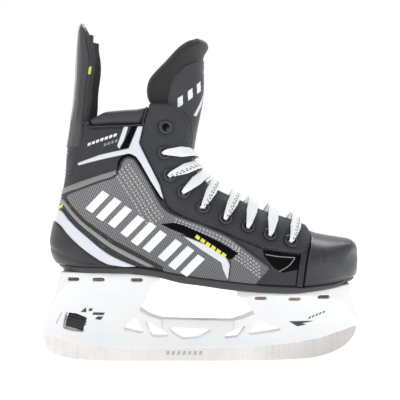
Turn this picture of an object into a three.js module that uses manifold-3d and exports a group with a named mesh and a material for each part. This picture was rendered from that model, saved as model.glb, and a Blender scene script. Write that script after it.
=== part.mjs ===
// One hockey-style ice skate (right foot): boot, lacing, blade holder and quick-release runner.
// Millimetres. +X to the toe, +Y to the inner (medial) side of the foot, +Z up, z = 0 on the ice.
import * as THREE from 'three';
import { ParametricGeometry } from 'three/addons/geometries/ParametricGeometry.js';
import { mergeVertices } from 'three/addons/utils/BufferGeometryUtils.js';
import Module from 'manifold-3d';

const wasm = await Module();
wasm.setup();

// ---- driving dimensions -------------------------------------------------------------------
const GAP = 0.3;                   // clearance between pieces that touch
const WELD = 1e-4;                 // distance at which vertices count as one
const LAYER_GAP = 0.6;             // the same between curved layers, whose facets differ
const TAU = 2 * Math.PI;
const REACH = 70;                  // half length of a cutting prism across the skate

const SHELL_OUT = -1.7;            // quarter panels, as offsets from the boot's outer surface
const SHELL_IN = -3.9;
const OVERLAY_IN = SHELL_OUT + 3 * GAP;    // heel counter, laid on the quarters
const TOE_CAP_IN = -3.2;
const LINER_OUT = SHELL_IN - 3 * GAP;
const LINER_IN = -7.8;
const FOOTBED_CLEARANCE = 1.9;     // between the footbed's edge and the liner
const BED_RIM = 2.5;               // height of the liner's lower edge above the footbed
const COLLAR_IN = -9;
const TONGUE_OUT = -10;
const TONGUE_IN = TONGUE_OUT - 6.5;

const THROAT_RADIUS = 40;          // roundness over the instep
const TOE_TOP_RADIUS = 26;         // roundness over the toe box
const HEEL_RADIUS = 34;            // roundness of the heel seen from above
const ACHILLES_RADIUS = 52;        // the same at the top of the boot
const TOE_RADIUS = 46;             // roundness of the toe seen from above
const SOLE_RADIUS = 9;             // tuck of the side walls at the sole
const ANKLE_HALF_WIDTH = 41;

const EYELET_RADIUS = 6;
const EYELET_BORE = 3.1;
const EYELET_HOLE = 5;             // through the eyestay; the barrel is smaller by the gap
const EYELET_SIDES = 8;
const LACE_WIDTH = 8.5;
const LACE_THICKNESS = 1.4;
const LACE_STEPS = 10;
const RIVET_HEAD = 3.4;
const RIVET_SHANK = 1.7;

const RUNNER_THICKNESS = 3;
const RUNNER_DEPTH_IN_HOLDER = 5;
const SLOT_CLEARANCE = 0.5;

const WHEEL_CENTRE = [-117.3, 38];
const WHEEL_TILT = THREE.MathUtils.degToRad(16);
const WHEEL_RADIUS = 7.6;
const WHEEL_LENGTH = 17;
const WHEEL_RIBS = 16;
const SCREW_RADIUS = 2;
const HOOK_PIN_RADIUS = 1.4;
const HOOK_REACH = 24;             // distance from the wheel's middle to the hook pin
const FORK_HALF = 3.8;             // the screw's fork over the runner's post, outside and inside
const FORK_INSIDE = 2.1;
const FORK_ARM = 2.2;              // how far the fork's arms reach round the pin

const GUARD_HINGE = [-121, 226.5];
const TONGUE_HINGE_Z = 205;

// ---- outlines in the side plane, [x, z] ---------------------------------------------------
const spline = (points) => new THREE.SplineCurve(points.map(([x, z]) => new THREE.Vector2(x, z)));

const REAR_LINE = spline([[-119, 252], [-122, 229], [-127.5, 197], [-129, 176], [-134, 149],
  [-140, 126], [-142, 110], [-138, 96], [-129, 87]]);
const SOLE_LINE = spline([[-129, 87], [-92, 86.5], [-57, 86], [-36, 82], [-18, 77.6], [0, 75.4],
  [36, 71], [78, 69], [100, 70.5], [137, 75.5]]);
const TOE_LINE = spline([[137, 75.5], [146, 82], [149.2, 94], [148.6, 104]]);
const INSTEP_LINE = spline([[1, 252], [-1, 228], [-1, 203], [5, 184], [12, 175], [24, 167.5]]);
const VAMP_LINE = spline([[24, 167.5], [41, 158.5], [60, 148.5], [82, 140], [102, 130],
  [122, 122], [136, 118]]);
const TOE_TOP_LINE = spline([[136, 118], [143, 115], [147.3, 110], [148.6, 104]]);

const OUTSOLE_TOP = [[-150, 92], [-54, 91], [-36, 88.5], [-18, 85], [0, 82.5], [27, 79.5],
  [60, 76.5], [90, 75], [118, 77.5], [160, 84]];
const THROAT_PLAN = [[-40, 25], [10, 25], [40, 23.5], [78, 20], [92, 15], [100, 6]];
const TOE_SEAM = [[101.5, 124], [95.5, 104], [93.5, 92], [91, 75]];
const COLLAR_SEAM = [[-150, 226], [-104, 225.5], [-100, 218.5], [-54, 219.5], [-49, 225],
  [-45, 239.5], [-23, 238.5]];
const EYESTAY_SEAM = [[-49, 225], [-50.5, 218], [-54.5, 203], [-45, 178], [-36, 157], [-25, 145],
  [-9, 139], [9, 132.5], [27, 124], [52, 110.5], [60, 108], [95, 104.5]];
const HEEL_COUNTER_TOP = [[-150, 139], [-140, 136], [-127, 129], [-115, 117], [-99, 104],
  [-84, 94]];
const FOOTBED_TOP = [[-150, 98.4], [-62, 98.4], [-30, 94], [10, 87], [60, 83], [150, 86]];

const shift = (points, dx, dz) => points.map(([x, z]) => [x + dx, z + dz]);
const back = (points) => [...points].reverse();

// ---- the boot's outer surface -------------------------------------------------------------
const REAR_ROWS = 8;
const SOLE_ROWS = 11;
const TOE_ROWS = 3;
const SIDE_COLUMNS = 8;
const FINE = 60;

const lowerEdge = [REAR_LINE, SOLE_LINE, TOE_LINE];
const upperEdge = [INSTEP_LINE, VAMP_LINE, TOE_TOP_LINE];
const rowsOf = [REAR_ROWS, SOLE_ROWS, TOE_ROWS];
// Rows crowd towards the ends of the sole, where the heel and toe turn.
const ease = (t) => 0.5 - 0.5 * Math.cos(Math.PI * t);
const sampleRows = (curves) => curves.flatMap((curve, i) => {
  const steps = [...Array(rowsOf[i] + 1).keys()].map((step) => step / rowsOf[i]);
  const points = steps.map((t) => curve.getPoint(curve === SOLE_LINE || curve === VAMP_LINE
    ? ease(t) : t));
  return i === 0 ? points : points.slice(1);
});
const rearPolyline = REAR_LINE.getPoints(FINE);
const solePolyline = SOLE_LINE.getPoints(FINE);
const toePolyline = TOE_LINE.getPoints(FINE);
const topPolyline = upperEdge.flatMap((curve) => curve.getPoints(FINE));

function distanceTo(polyline, x, z) {
  let best = Infinity;
  for (let i = 1; i < polyline.length; i += 1) {
    const a = polyline[i - 1];
    const b = polyline[i];
    const dx = b.x - a.x;
    const dz = b.y - a.y;
    const length2 = dx * dx + dz * dz || 1;
    const t = THREE.MathUtils.clamp(((x - a.x) * dx + (z - a.y) * dz) / length2, 0, 1);
    best = Math.min(best, Math.hypot(x - a.x - t * dx, z - a.y - t * dz));
  }
  return best;
}

const FOOT_WIDTHS = [[-150, 30], [-110, 33], [-60, 36], [-20, 40], [20, 46], [55, 50], [90, 49.5],
  [120, 46], [150, 42]];
function interpolate(table, x) {
  const beyond = table.slice(1).findIndex(([key]) => key >= x);
  const index = beyond < 0 ? table.length - 1 : beyond + 1;
  const [x0, y0] = table[index - 1];
  const [x1, y1] = table[index];
  return y0 + (y1 - y0) * THREE.MathUtils.clamp((x - x0) / (x1 - x0), 0, 1);
}

// A quarter of an ellipse: 0 at the edge, 1 from one radius inwards.
const roundOff = (distance, radius) => {
  const t = THREE.MathUtils.clamp(distance / radius, 0, 1);
  return Math.sqrt(Math.max(0, 1 - (1 - t) ** 2));
};

function halfWidth(x, z, offset) {
  const rise = THREE.MathUtils.smoothstep(z, 110, 190);
  const full = THREE.MathUtils.lerp(interpolate(FOOT_WIDTHS, x), ANKLE_HALF_WIDTH, rise);
  const rearRadius = THREE.MathUtils.lerp(HEEL_RADIUS, ACHILLES_RADIUS,
    THREE.MathUtils.smoothstep(z, 140, 225));
  const topRadius = THREE.MathUtils.lerp(THROAT_RADIUS, TOE_TOP_RADIUS,
    THREE.MathUtils.smoothstep(x, 80, 120));
  const rear = roundOff(distanceTo(rearPolyline, x, z) + offset, rearRadius + offset);
  const toe = roundOff(distanceTo(toePolyline, x, z) + offset, TOE_RADIUS + offset);
  const top = roundOff(distanceTo(topPolyline, x, z) + offset, topRadius + offset);
  const sole = 0.9 + 0.1 * roundOff(distanceTo(solePolyline, x, z), SOLE_RADIUS);
  return Math.max(0, (full + offset) * rear * toe * top * sole);
}

function surfaceNormal(x, z, side) {
  const step = 1;
  const dx = (halfWidth(x + step, z, 0) - halfWidth(x - step, z, 0)) / (2 * step);
  const dz = (halfWidth(x, z + step, 0) - halfWidth(x, z - step, 0)) / (2 * step);
  return new THREE.Vector3(-dx, side, -dz).normalize();
}

// ---- solids ------------------------------------------------------------------------------
function toSolid(geometry) {
  const bare = geometry.clone();
  for (const name of Object.keys(bare.attributes)) {
    if (name !== 'position') bare.deleteAttribute(name);
  }
  const merged = mergeVertices(bare, WELD);
  const vertices = merged.attributes.position.array;
  const corner = (i) => new THREE.Vector3().fromArray(vertices, 3 * i);
  const triangles = [];
  let volume = 0;
  for (let i = 0; i < merged.index.count; i += 3) {
    const [a, b, c] = [0, 1, 2].map((k) => merged.index.getX(i + k));
    if (a !== b && b !== c && c !== a) {
      triangles.push(a, b, c);
      volume += corner(a).dot(corner(b).cross(corner(c)));
    }
  }
  if (volume < 0) triangles.reverse();
  return new wasm.Manifold(new wasm.Mesh({
    numProp: 3,
    vertProperties: new Float32Array(vertices),
    triVerts: new Uint32Array(triangles),
  }));
}

function toGeometry(solid) {
  const mesh = solid.getMesh();
  const geometry = new THREE.BufferGeometry();
  geometry.setAttribute('position', new THREE.BufferAttribute(mesh.vertProperties, 3));
  geometry.setIndex(new THREE.BufferAttribute(mesh.triVerts, 1));
  return geometry;
}

// A closed surface through sections of `around` points each. The second half of a section runs
// back along the first, and an end is closed by drawing the two halves together.
function loftSolid(point, around, along) {
  const last = along + 2;
  const geometry = new ParametricGeometry((u, v, target) => {
    const row = Math.round(v * last);
    const column = Math.round(u * around) % around;
    const section = THREE.MathUtils.clamp(row - 1, 0, along);
    point(column, section, target);
    if (row === 0 || row === last) {
      const opposite = new THREE.Vector3();
      point(around - 1 - column, section, opposite);
      target.lerp(opposite, 0.5);
    }
  }, around, last);
  return toSolid(geometry);
}

function prism(points, near = -REACH, far = REACH, holes = []) {
  const shape = new THREE.Shape(points.map(([x, z]) => new THREE.Vector2(x, z)));
  shape.holes = holes.map((hole) => new THREE.Path(hole.map(([x, z]) => new THREE.Vector2(x, z))));
  const geometry = new THREE.ExtrudeGeometry(shape, { depth: far - near, bevelEnabled: false });
  geometry.rotateX(Math.PI / 2);
  geometry.translate(0, far, 0);
  return toSolid(geometry);
}

// The same along X, from an outline in [y, z].
function lengthwisePrism(points, from, to) {
  const shape = new THREE.Shape(points.map(([y, z]) => new THREE.Vector2(y, z)));
  const geometry = new THREE.ExtrudeGeometry(shape, { depth: to - from, bevelEnabled: false });
  geometry.applyMatrix4(new THREE.Matrix4().set(0, 0, 1, from, 1, 0, 0, 0, 0, 1, 0, 0, 0, 0, 0, 1));
  return toSolid(geometry);
}

// An outline of half widths [x, y], mirrored about the middle and extruded upwards.
function planPrism(points, from = 0) {
  const loop = [...points, ...back(points).map(([x, y]) => [x, -y])];
  const shape = new THREE.Shape(loop.map(([x, y]) => new THREE.Vector2(x, y)));
  const geometry = new THREE.ExtrudeGeometry(shape, { depth: 4 * REACH, bevelEnabled: false });
  geometry.translate(0, 0, from);
  return toSolid(geometry);
}

function lathe(profile, segments, position, axis) {
  const geometry = new THREE.LatheGeometry(profile.map(([r, h]) => new THREE.Vector2(r, h)), segments);
  const turn = new THREE.Quaternion().setFromUnitVectors(new THREE.Vector3(0, 1, 0), axis);
  geometry.applyQuaternion(turn);
  geometry.translate(position.x, position.y, position.z);
  return toSolid(geometry);
}

const rod = (radius, from, to, segments) => {
  const axis = to.clone().sub(from);
  const length = axis.length();
  return lathe([[0, 0], [radius, 0], [radius, length], [0, length]], segments, from, axis.normalize());
};

const unite = (solids) => solids.reduce((whole, solid) => whole.add(solid));

// ---- boot --------------------------------------------------------------------------------
const lowerRows = sampleRows(lowerEdge);
const upperRows = sampleRows(upperEdge);
const outlineLoop = [...lowerRows, ...back(upperRows).slice(1)];

function outward(index) {
  const before = outlineLoop[Math.max(index - 1, 0)];
  const after = outlineLoop[Math.min(index + 1, outlineLoop.length - 1)];
  const run = after.clone().sub(before).normalize();
  return new THREE.Vector2(run.y, -run.x);
}

function bootSolid(offset) {
  const rows = lowerRows.length - 1;
  const columns = SIDE_COLUMNS;
  const section = (column, row, target) => {
    const near = column <= columns;
    const step = near ? column : 2 * columns + 1 - column;
    const t = ease(step / columns);
    const upperIndex = outlineLoop.length - 1 - row;
    const low = lowerRows[row].clone().addScaledVector(outward(row), offset);
    const high = upperRows[row].clone().addScaledVector(outward(upperIndex), offset);
    const at = low.lerp(high, t);
    const width = halfWidth(at.x, at.y, offset);
    target.set(at.x, near ? -width : width, at.y);
  };
  return loftSolid(section, 2 * columns + 2, rows);
}

const bootOuter = bootSolid(0);
const overlayInner = bootSolid(OVERLAY_IN);
const shellOuter = bootSolid(SHELL_OUT);
const shellInner = bootSolid(SHELL_IN);
const toeCapInner = bootSolid(TOE_CAP_IN);
const linerOuter = bootSolid(LINER_OUT);
const linerInner = bootSolid(LINER_IN);
const footSpace = bootSolid(LINER_IN - FOOTBED_CLEARANCE);
const collarInner = bootSolid(COLLAR_IN);
const tongueOuter = bootSolid(TONGUE_OUT);
const tongueInner = bootSolid(TONGUE_IN);

const lateralHalf = (points) => prism(points, -REACH, -GAP / 2);
const medialHalf = (points) => prism(points, GAP / 2, REACH);
const halves = [['lateral', lateralHalf, -1], ['medial', medialHalf, 1]];

const FLOOR = 50;                  // level below every boot piece, where outlines close
const quarterOutline = [...COLLAR_SEAM.slice(0, 4), ...shift(EYESTAY_SEAM, -GAP, -GAP),
  ...TOE_SEAM.slice(2), [91, FLOOR], [-150, FLOOR]];
const eyestayOutline = [...COLLAR_SEAM.slice(-2), [-14, 234.5], [-9.5, 228], [40, 200],
  [105.5, 140], ...TOE_SEAM.slice(0, 2), ...back(EYESTAY_SEAM)];
const toeCapOutline = [...shift(TOE_SEAM, GAP, 0), [91 + GAP, FLOOR], [160, FLOOR], [160, 140],
  [106, 140]];
const heelCounterOutline = [...HEEL_COUNTER_TOP, [-80, FLOOR], [-150, FLOOR]];
const collarOutline = [[-103.5, 226], [-99.6, 219], [-54.5, 220], [-49.6, 225.3], [-47, 236],
  [-56, 234.8], [-88, 232.5], [-98, 228]];
const outsoleOutline = [...OUTSOLE_TOP, [160, FLOOR], [-150, FLOOR]];
const linerOutline = [[-150, 217.5], ...shift(EYESTAY_SEAM.slice(1), -2, -1), [126, 104],
  ...back(shift(FOOTBED_TOP, 0, BED_RIM)).map(([x, z]) => [Math.min(x, 126), z])];
const footbedOutline = [...FOOTBED_TOP, [150, FLOOR], [-150, FLOOR]];
const TONGUE_PLAN = [[-40, 27], [60, 26], [98, 18]];
const tongueLowerOutline = [[-30, TONGUE_HINGE_Z - 4], [20, TONGUE_HINGE_Z - 4], [110, 160],
  [92, 108], [40, 120], [-8, 150], [-30, 170]];
// The opening that the tongue fills, seen from above, kept clear of the floor of the boot.
const throat = planPrism(THROAT_PLAN, FLOOR).intersect(prism([[-30, 270], [-30, 200], [-10, 165],
  [10, 148], [50, 130], [100, 105], [160, 150], [60, 270]]));
const belowSole = prism([...shift(OUTSOLE_TOP, 0, GAP), [160, FLOOR], [-150, FLOOR]]);

// ---- materials -----------------------------------------------------------------------------
const finish = (color, roughness, metalness = 0) => ({ color, roughness, metalness });
const FINISHES = {
  syntheticLeather: finish(0x48494f, 0.62),
  panel: finish(0x707378, 0.5),
  moulded: finish(0x4b4d52, 0.4),
  soleComposite: finish(0x4a4a4d, 0.5),
  lining: finish(0x2f2f33, 0.95),
  felt: finish(0x303032, 1),
  tongueCover: finish(0x55575c, 0.5),
  nylon: finish(0xf4f5f7, 0.35),
  steel: finish(0xcfcdc8, 0.28, 1),
  lace: finish(0xf3f3f2, 0.85),
  eyelet: finish(0x2a2a2e, 0.4, 0.3),
  copper: finish(0xd9936a, 0.35, 1),
  wheel: finish(0x1c1c1f, 0.5),
  footbed: finish(0x3b3d42, 0.9),
};

const group = new THREE.Group();
function place(name, geometryOrSolid, look, parent = group) {
  const isGeometry = geometryOrSolid.isBufferGeometry === true;
  const geometry = isGeometry ? geometryOrSolid : toGeometry(geometryOrSolid);
  const mesh = new THREE.Mesh(geometry, new THREE.MeshStandardMaterial(FINISHES[look]));
  mesh.name = name;
  parent.add(mesh);
  return mesh;
}

// ---- eyelets -------------------------------------------------------------------------------
const EYELETS = [[-31, 218], [-32, 195], [-27, 175], [-14.5, 160], [3, 146.5], [23, 136.5],
  [43, 129], [62.5, 122], [81, 116]];
const onSurface = (x, z, side, lift = 0) => {
  const point = new THREE.Vector3(x, side * halfWidth(x, z, 0), z);
  return point.addScaledVector(surfaceNormal(x, z, side), lift);
};
const eyeletHoles = (side) => unite(EYELETS.map(([x, z]) => rod(EYELET_HOLE,
  onSurface(x, z, side, -8), onSurface(x, z, side, 4), EYELET_SIDES)));
const EYELET_PROFILE = [[EYELET_BORE, -4.2], [EYELET_HOLE - 2 * GAP, -4.2], [EYELET_HOLE - 2 * GAP, 0.4],
  [EYELET_RADIUS, 0.4], [EYELET_BORE + 1, 1.5], [EYELET_BORE, -4.2]];

for (const [label, half, side] of halves) {
  const quarter = shellOuter.subtract(shellInner).intersect(half(quarterOutline))
    .subtract(belowSole);
  const eyestay = bootOuter.subtract(shellInner).intersect(half(eyestayOutline))
    .subtract(eyeletHoles(side)).subtract(throat);
  place(`quarter_${label}`, quarter, 'panel');
  place(`eyestay_${label}`, eyestay, 'syntheticLeather');
  place(`collar_pad_${label}`, bootOuter.subtract(collarInner).intersect(half(collarOutline)),
    'syntheticLeather');
  EYELETS.forEach(([x, z], i) => {
    const ring = lathe(EYELET_PROFILE, EYELET_SIDES, onSurface(x, z, side), surfaceNormal(x, z, side));
    place(`eyelet_${label}_${i + 1}`, ring, 'eyelet');
  });
}

place('toe_cap', bootOuter.subtract(toeCapInner).intersect(prism(toeCapOutline))
  .subtract(belowSole), 'moulded');
place('heel_counter', bootOuter.subtract(overlayInner).intersect(prism(heelCounterOutline))
  .subtract(belowSole), 'moulded');
place('outsole', bootOuter.intersect(prism(outsoleOutline)), 'soleComposite');
place('liner', linerOuter.subtract(linerInner).intersect(prism(linerOutline)), 'lining');
place('footbed', footSpace.intersect(prism(footbedOutline)), 'footbed');
place('tongue_lower', tongueOuter.subtract(tongueInner)
  .intersect(prism(tongueLowerOutline)).intersect(planPrism(TONGUE_PLAN)), 'tongueCover');

// ---- arched sheets: tongue top and tendon guard ----------------------------------------------
// Each row of the table is [z, x at the middle, sweep back at the edges, half width].
function archedSheet(table, facing, depthFrom, depthTo, rows, columns) {
  const at = (z, key) => interpolate(table.map((row) => [row[0], row[key]]), z);
  const low = table[0][0];
  const high = table[table.length - 1][0];
  const section = (column, row, target) => {
    const outer = column <= columns;
    const step = outer ? column : 2 * columns + 1 - column;
    const across = -1 + (2 * step) / columns;
    const z = low + (high - low) * (1 - (1 - row / rows) ** 1.4);
    const inset = outer ? depthFrom : depthTo;
    const y = across * (at(z, 3) - 0.35 * inset);
    const x = at(z, 1) - facing * (at(z, 2) * across ** 2 + inset);
    target.set(x, y, z);
  };
  return loftSolid(section, 2 * columns + 2, rows);
}

const TONGUE_NECK = [[TONGUE_HINGE_Z - 3, -4, 4, 14], [238, 0, 4, 14], [246.5, 0.8, 1.5, 9]];
const TONGUE_TOP = [[244, 1, 46, 36], [258, 2.4, 47, 38], [271, 2.4, 40, 37], [281, 2.8, 30, 34],
  [290, 4, 19, 29], [297, 6.5, 9, 21], [301, 8.5, 3, 12]];
const COVER_DEPTH = 3;
const FELT_DEPTH = 9;
const tongueLayer = (from, to) => archedSheet(TONGUE_TOP, 1, from, to, 8, 8)
  .add(archedSheet(TONGUE_NECK, 1, from, to, 3, 4));
place('tongue_top', tongueLayer(0, COVER_DEPTH), 'tongueCover');
place('tongue_felt', tongueLayer(COVER_DEPTH + 2.5 * LAYER_GAP, FELT_DEPTH), 'felt');

const GUARD = [[GUARD_HINGE[1] + 1.5, -122, 14, 29], [238, -120.5, 16, 28], [256, -119, 16, 26.5],
  [275, -118, 15.5, 26], [292, -116.8, 14.5, 25], [304, -115.8, 12, 22], [313, -115, 9, 18],
  [318, -113.8, 5, 13], [321.5, -111.5, 2, 7]];
const GUARD_DEPTH = 3;
const GUARD_LINER_DEPTH = 6.5;
place('tendon_guard', archedSheet(GUARD, -1, 0, GUARD_DEPTH, 10, 6), 'moulded');
place('tendon_guard_liner', archedSheet(GUARD, -1, GUARD_DEPTH + LAYER_GAP, GUARD_LINER_DEPTH, 10, 6),
  'lining');

// ---- lace ------------------------------------------------------------------------------------
// A flat ribbon along a curve; its flat side faces the direction in `ups` at each point.
function ribbon(points, ups, widths, steps) {
  const path = new THREE.CatmullRomCurve3(points, false, 'centripetal');
  const upPath = new THREE.CatmullRomCurve3(ups);
  const widthTable = widths.map((width, i) => [i / (widths.length - 1), width]);
  const corners = [[-1, -1], [1, -1], [1, 1], [-1, 1]];
  const section = (column, row, target) => {
    const t = row / steps;
    const tangent = path.getTangent(t);
    const aside = new THREE.Vector3().crossVectors(tangent, upPath.getPoint(t)).normalize();
    const top = new THREE.Vector3().crossVectors(aside, tangent).normalize();
    const [across, up] = corners[column];
    target.copy(path.getPoint(t));
    target.addScaledVector(aside, (across * interpolate(widthTable, t)) / 2);
    target.addScaledVector(top, (up * LACE_THICKNESS) / 2);
  };
  return loftSolid(section, corners.length, steps);
}

const LACED = [1, 2, 3, 4, 5, 6, 7, 8];
const CROWNS = [null, [-5, 196.5], [-1.5, 185.5], [5, 177.5], [15, 169.5], [34, 159], [49, 152.5],
  [68, 145], [90, 137]];
const UNDER_LIP = SHELL_IN - 3.1;
const OVER_LIP = 2.7;
const towards = ([x, z], [toX, toZ], t) => [x + (toX - x) * t, z + (toZ - z) * t];

function laceStrand(index, side) {
  const eyelet = EYELETS[index];
  const next = EYELETS[index - 1];
  const crown = CROWNS[index];
  const normal = surfaceNormal(...eyelet, side);
  const farNormal = surfaceNormal(...next, -side);
  const upward = new THREE.Vector3(0.6, 0, 0.8);
  const points = [
    onSurface(...eyelet, side, UNDER_LIP),
    onSurface(...eyelet, side, OVER_LIP),
    onSurface(...towards(eyelet, crown, 0.5), side, OVER_LIP),
    onSurface(...towards(eyelet, crown, 0.85), side, OVER_LIP),
    new THREE.Vector3(crown[0], 0, crown[1]),
    onSurface(...towards(next, crown, 0.8), -side, UNDER_LIP),
    onSurface(...towards(next, crown, 0.5), -side, UNDER_LIP),
    onSurface(...(index === LACED[0] ? towards(next, crown, 0.35) : next), -side, UNDER_LIP),
  ];
  const lipUp = normal.clone().add(upward);
  const ups = [upward, normal, normal, lipUp, upward, farNormal.clone().add(upward), farNormal,
    farNormal];
  const widths = [2.4, 3, LACE_WIDTH, LACE_WIDTH, LACE_WIDTH, LACE_WIDTH, 6, 2.4];
  return ribbon(points, ups, widths, LACE_STEPS);
}

function bottomBar() {
  const eyelet = EYELETS[EYELETS.length - 1];
  const crown = CROWNS[CROWNS.length - 1];
  const points = [-1, 1].map((side) => onSurface(...eyelet, side, UNDER_LIP));
  points.splice(1, 0, new THREE.Vector3(crown[0] - 3, 0, crown[1] - 3));
  const up = new THREE.Vector3(0.6, 0, 0.8);
  return ribbon(points, [surfaceNormal(...eyelet, -1), up, surfaceNormal(...eyelet, 1)],
    [3, LACE_WIDTH, 3], LACE_STEPS);
}
place('lace', unite([bottomBar(), ...LACED.flatMap((index) => [laceStrand(index, -1),
  laceStrand(index, 1)])]), 'lace');

// ---- blade holder ----------------------------------------------------------------------------
const SOLE_SEAT = [[-129.5, 86.4], [-60, 85.6], [-37, 81.9]];
const FRONT_SEAT = [[33.6, 70.9], [55, 69.4], [80, 68.5], [98, 69.9], [131, 74.2], [139.5, 75]];
const REAR_TOWER_FRONT = [[-37, 78], [-42, 77], [-46.7, 70.5], [-50.4, 63], [-56.5, 50]];
const BRIDGE_TOP = [[-51, 46], [-44, 43], [-37.5, 41], [-19, 40.3], [28, 39.3], [37.5, 41],
  [47, 44.8], [51, 46.5]];
const FRONT_TOWER_REAR = [[47.5, 51], [43.5, 58], [39, 63.5], [33.6, 65]];
const FRONT_EDGE = [[140.6, 64], [142.5, 57.5], [145.5, 50], [149, 42.5], [149.6, 38.5], [148.4, 35.8]];
const HOLDER_BOTTOM = [[132, 29.5], [113, 22.5], [85, 17.3], [47, 14], [0, 12.6], [-57, 11.7],
  [-90, 13.6], [-118, 18.3], [-145, 25.6]];
const REAR_EDGE = [[-149.6, 30.5], [-145.3, 40.5], [-140.6, 52], [-135, 65.5]];
const WINDOWS = [
  [[-61, 42.5], [-73, 31.2], [-53, 26.6]],
  [[-52, 39.2], [-47.5, 37.6], [-30.2, 26], [-31.5, 24], [-45, 24.2]],
  [[-30.2, 31.5], [-26, 32.2], [11.8, 30.4], [-2.4, 22.6], [-16, 21.9], [-22, 25]],
  [[44.8, 36], [34.9, 23.3], [20.8, 22.4], [27, 27]],
  [[54.7, 40], [76.9, 31.2], [74.5, 29.6], [45.5, 25.2]],
];
const WHEEL_WINDOW = [[-125.5, 47.4], [-115.5, 46.2], [-105.8, 41.8], [-107, 35], [-109.6, 28.4],
  [-119, 29.2], [-129, 32.2], [-127.8, 40]];
// Half width of the towers and bridge by height, with the seat flange on top.
const REAR_SECTION = [[6.4, 0], [6.8, 26], [9, 40], [13, 54], [20, 68], [26, 77], [28, 82], [28, 95]];
const FRONT_SECTION = [[5.8, 0], [6.4, 22], [9, 36], [14, 48], [26, 58], [36, 64.5], [38, 66], [38, 90]];
const BRIDGE_SECTION = [[6.4, 0], [6.4, 50]];
const mirrored = (section) => [...section, ...back(section).map(([y, z]) => [-y, z])];

// Footprint of the two seats and towers seen from above, [x, y].
const REAR_PLAN = [[-152, 8], [-136, 14], [-129, 20], [-118, 26.5], [-100, 28], [-36, 28]];
const FRONT_PLAN = [[32, 34], [55, 38], [96, 38], [118, 33], [132, 24], [142, 13], [152, 8]];

const holderProfile = [...SOLE_SEAT, ...REAR_TOWER_FRONT, ...BRIDGE_TOP, ...FRONT_TOWER_REAR,
  ...FRONT_SEAT, ...FRONT_EDGE, ...HOLDER_BOTTOM, ...REAR_EDGE];
const holderSection = unite([
  lengthwisePrism(mirrored(REAR_SECTION), -152, -30).intersect(planPrism(REAR_PLAN)),
  lengthwisePrism(mirrored(FRONT_SECTION), 28, 152).intersect(planPrism(FRONT_PLAN)),
  lengthwisePrism(mirrored(BRIDGE_SECTION), -80, 80),
]);

// The steel's edge on the ice, toe end first.
const RUNNER_EDGE = [[148.4, 35.4], [147.8, 29], [145, 23], [140, 17], [133, 11.9], [123.5, 7.2],
  [112, 3.9], [98, 2], [75, 0.9], [20, 0], [-80, 0], [-112, 0.9], [-124, 2.6], [-134, 4.8],
  [-142.5, 8.8], [-147, 16.5], [-148.6, 22.5]];
const runnerTop = shift(HOLDER_BOTTOM, 0, RUNNER_DEPTH_IN_HOLDER);
const HOOK_PIN = [WHEEL_CENTRE[0] + HOOK_REACH * Math.cos(WHEEL_TILT),
  WHEEL_CENTRE[1] - HOOK_REACH * Math.sin(WHEEL_TILT)];
const POST_HALF_WIDTH = 6.5;
const POST_TOP = HOOK_PIN[1] + 5;
const post = [[HOOK_PIN[0] + POST_HALF_WIDTH, 20], [HOOK_PIN[0] + POST_HALF_WIDTH, POST_TOP],
  [HOOK_PIN[0] - POST_HALF_WIDTH, POST_TOP], [HOOK_PIN[0] - POST_HALF_WIDTH, 20]];
// The pin travels forward and up in this cam slot as the screw lets the runner down.
const SCREW_TRAVEL = 3;
const RUNNER_DROP = 2.8;
const CAM_RADIUS = HOOK_PIN_RADIUS + 0.5;
const CAM_RUN = [SCREW_TRAVEL * Math.cos(WHEEL_TILT),
  RUNNER_DROP - SCREW_TRAVEL * Math.sin(WHEEL_TILT)];
function camSlot() {
  const shape = new THREE.Shape();
  const angle = Math.atan2(CAM_RUN[1], CAM_RUN[0]);
  shape.absarc(CAM_RUN[0], CAM_RUN[1], CAM_RADIUS, angle - Math.PI / 2, angle + Math.PI / 2, false);
  shape.absarc(0, 0, CAM_RADIUS, angle + Math.PI / 2, angle + 1.5 * Math.PI, false);
  return shape.getPoints(4).map((point) => [HOOK_PIN[0] + point.x, HOOK_PIN[1] + point.y]);
}

const steelHalf = RUNNER_THICKNESS / 2;
const runnerOutline = [...RUNNER_EDGE, [-145.5, 27], ...back(runnerTop).slice(1, -1), [140, 37.5]];
const runner = prism(runnerOutline, -steelHalf, steelHalf)
  .add(prism(post, -steelHalf, steelHalf))
  .subtract(prism(camSlot()));

const slotHalf = steelHalf + SLOT_CLEARANCE;
const slotTop = shift(runnerTop, 0, SLOT_CLEARANCE + 0.3);
const runnerSlot = prism([[146, 40], ...slotTop.slice(0, -1), [-144, 32], [-160, 32], [-160, -5],
  [160, -5], [160, 40]], -slotHalf, slotHalf);
const ROOM_HALF = FORK_HALF + 2 * GAP;
const ROOM_FRONT = HOOK_PIN[0] + POST_HALF_WIDTH + 1.5;
const ROOM_REAR = HOOK_PIN[0] - POST_HALF_WIDTH - 9.5;
const postRoom = prism([[ROOM_FRONT, 10], [ROOM_FRONT, POST_TOP + 1], [ROOM_REAR, POST_TOP + 5],
  [ROOM_REAR, 10]], -ROOM_HALF, ROOM_HALF);

// ---- quick-release lock ----------------------------------------------------------------------
const wheelAxis = new THREE.Vector3(Math.cos(WHEEL_TILT), 0, -Math.sin(WHEEL_TILT));
const wheelCentre = new THREE.Vector3(WHEEL_CENTRE[0], 0, WHEEL_CENTRE[1]);
const alongWheel = (distance) => wheelCentre.clone().addScaledVector(wheelAxis, distance);

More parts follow.
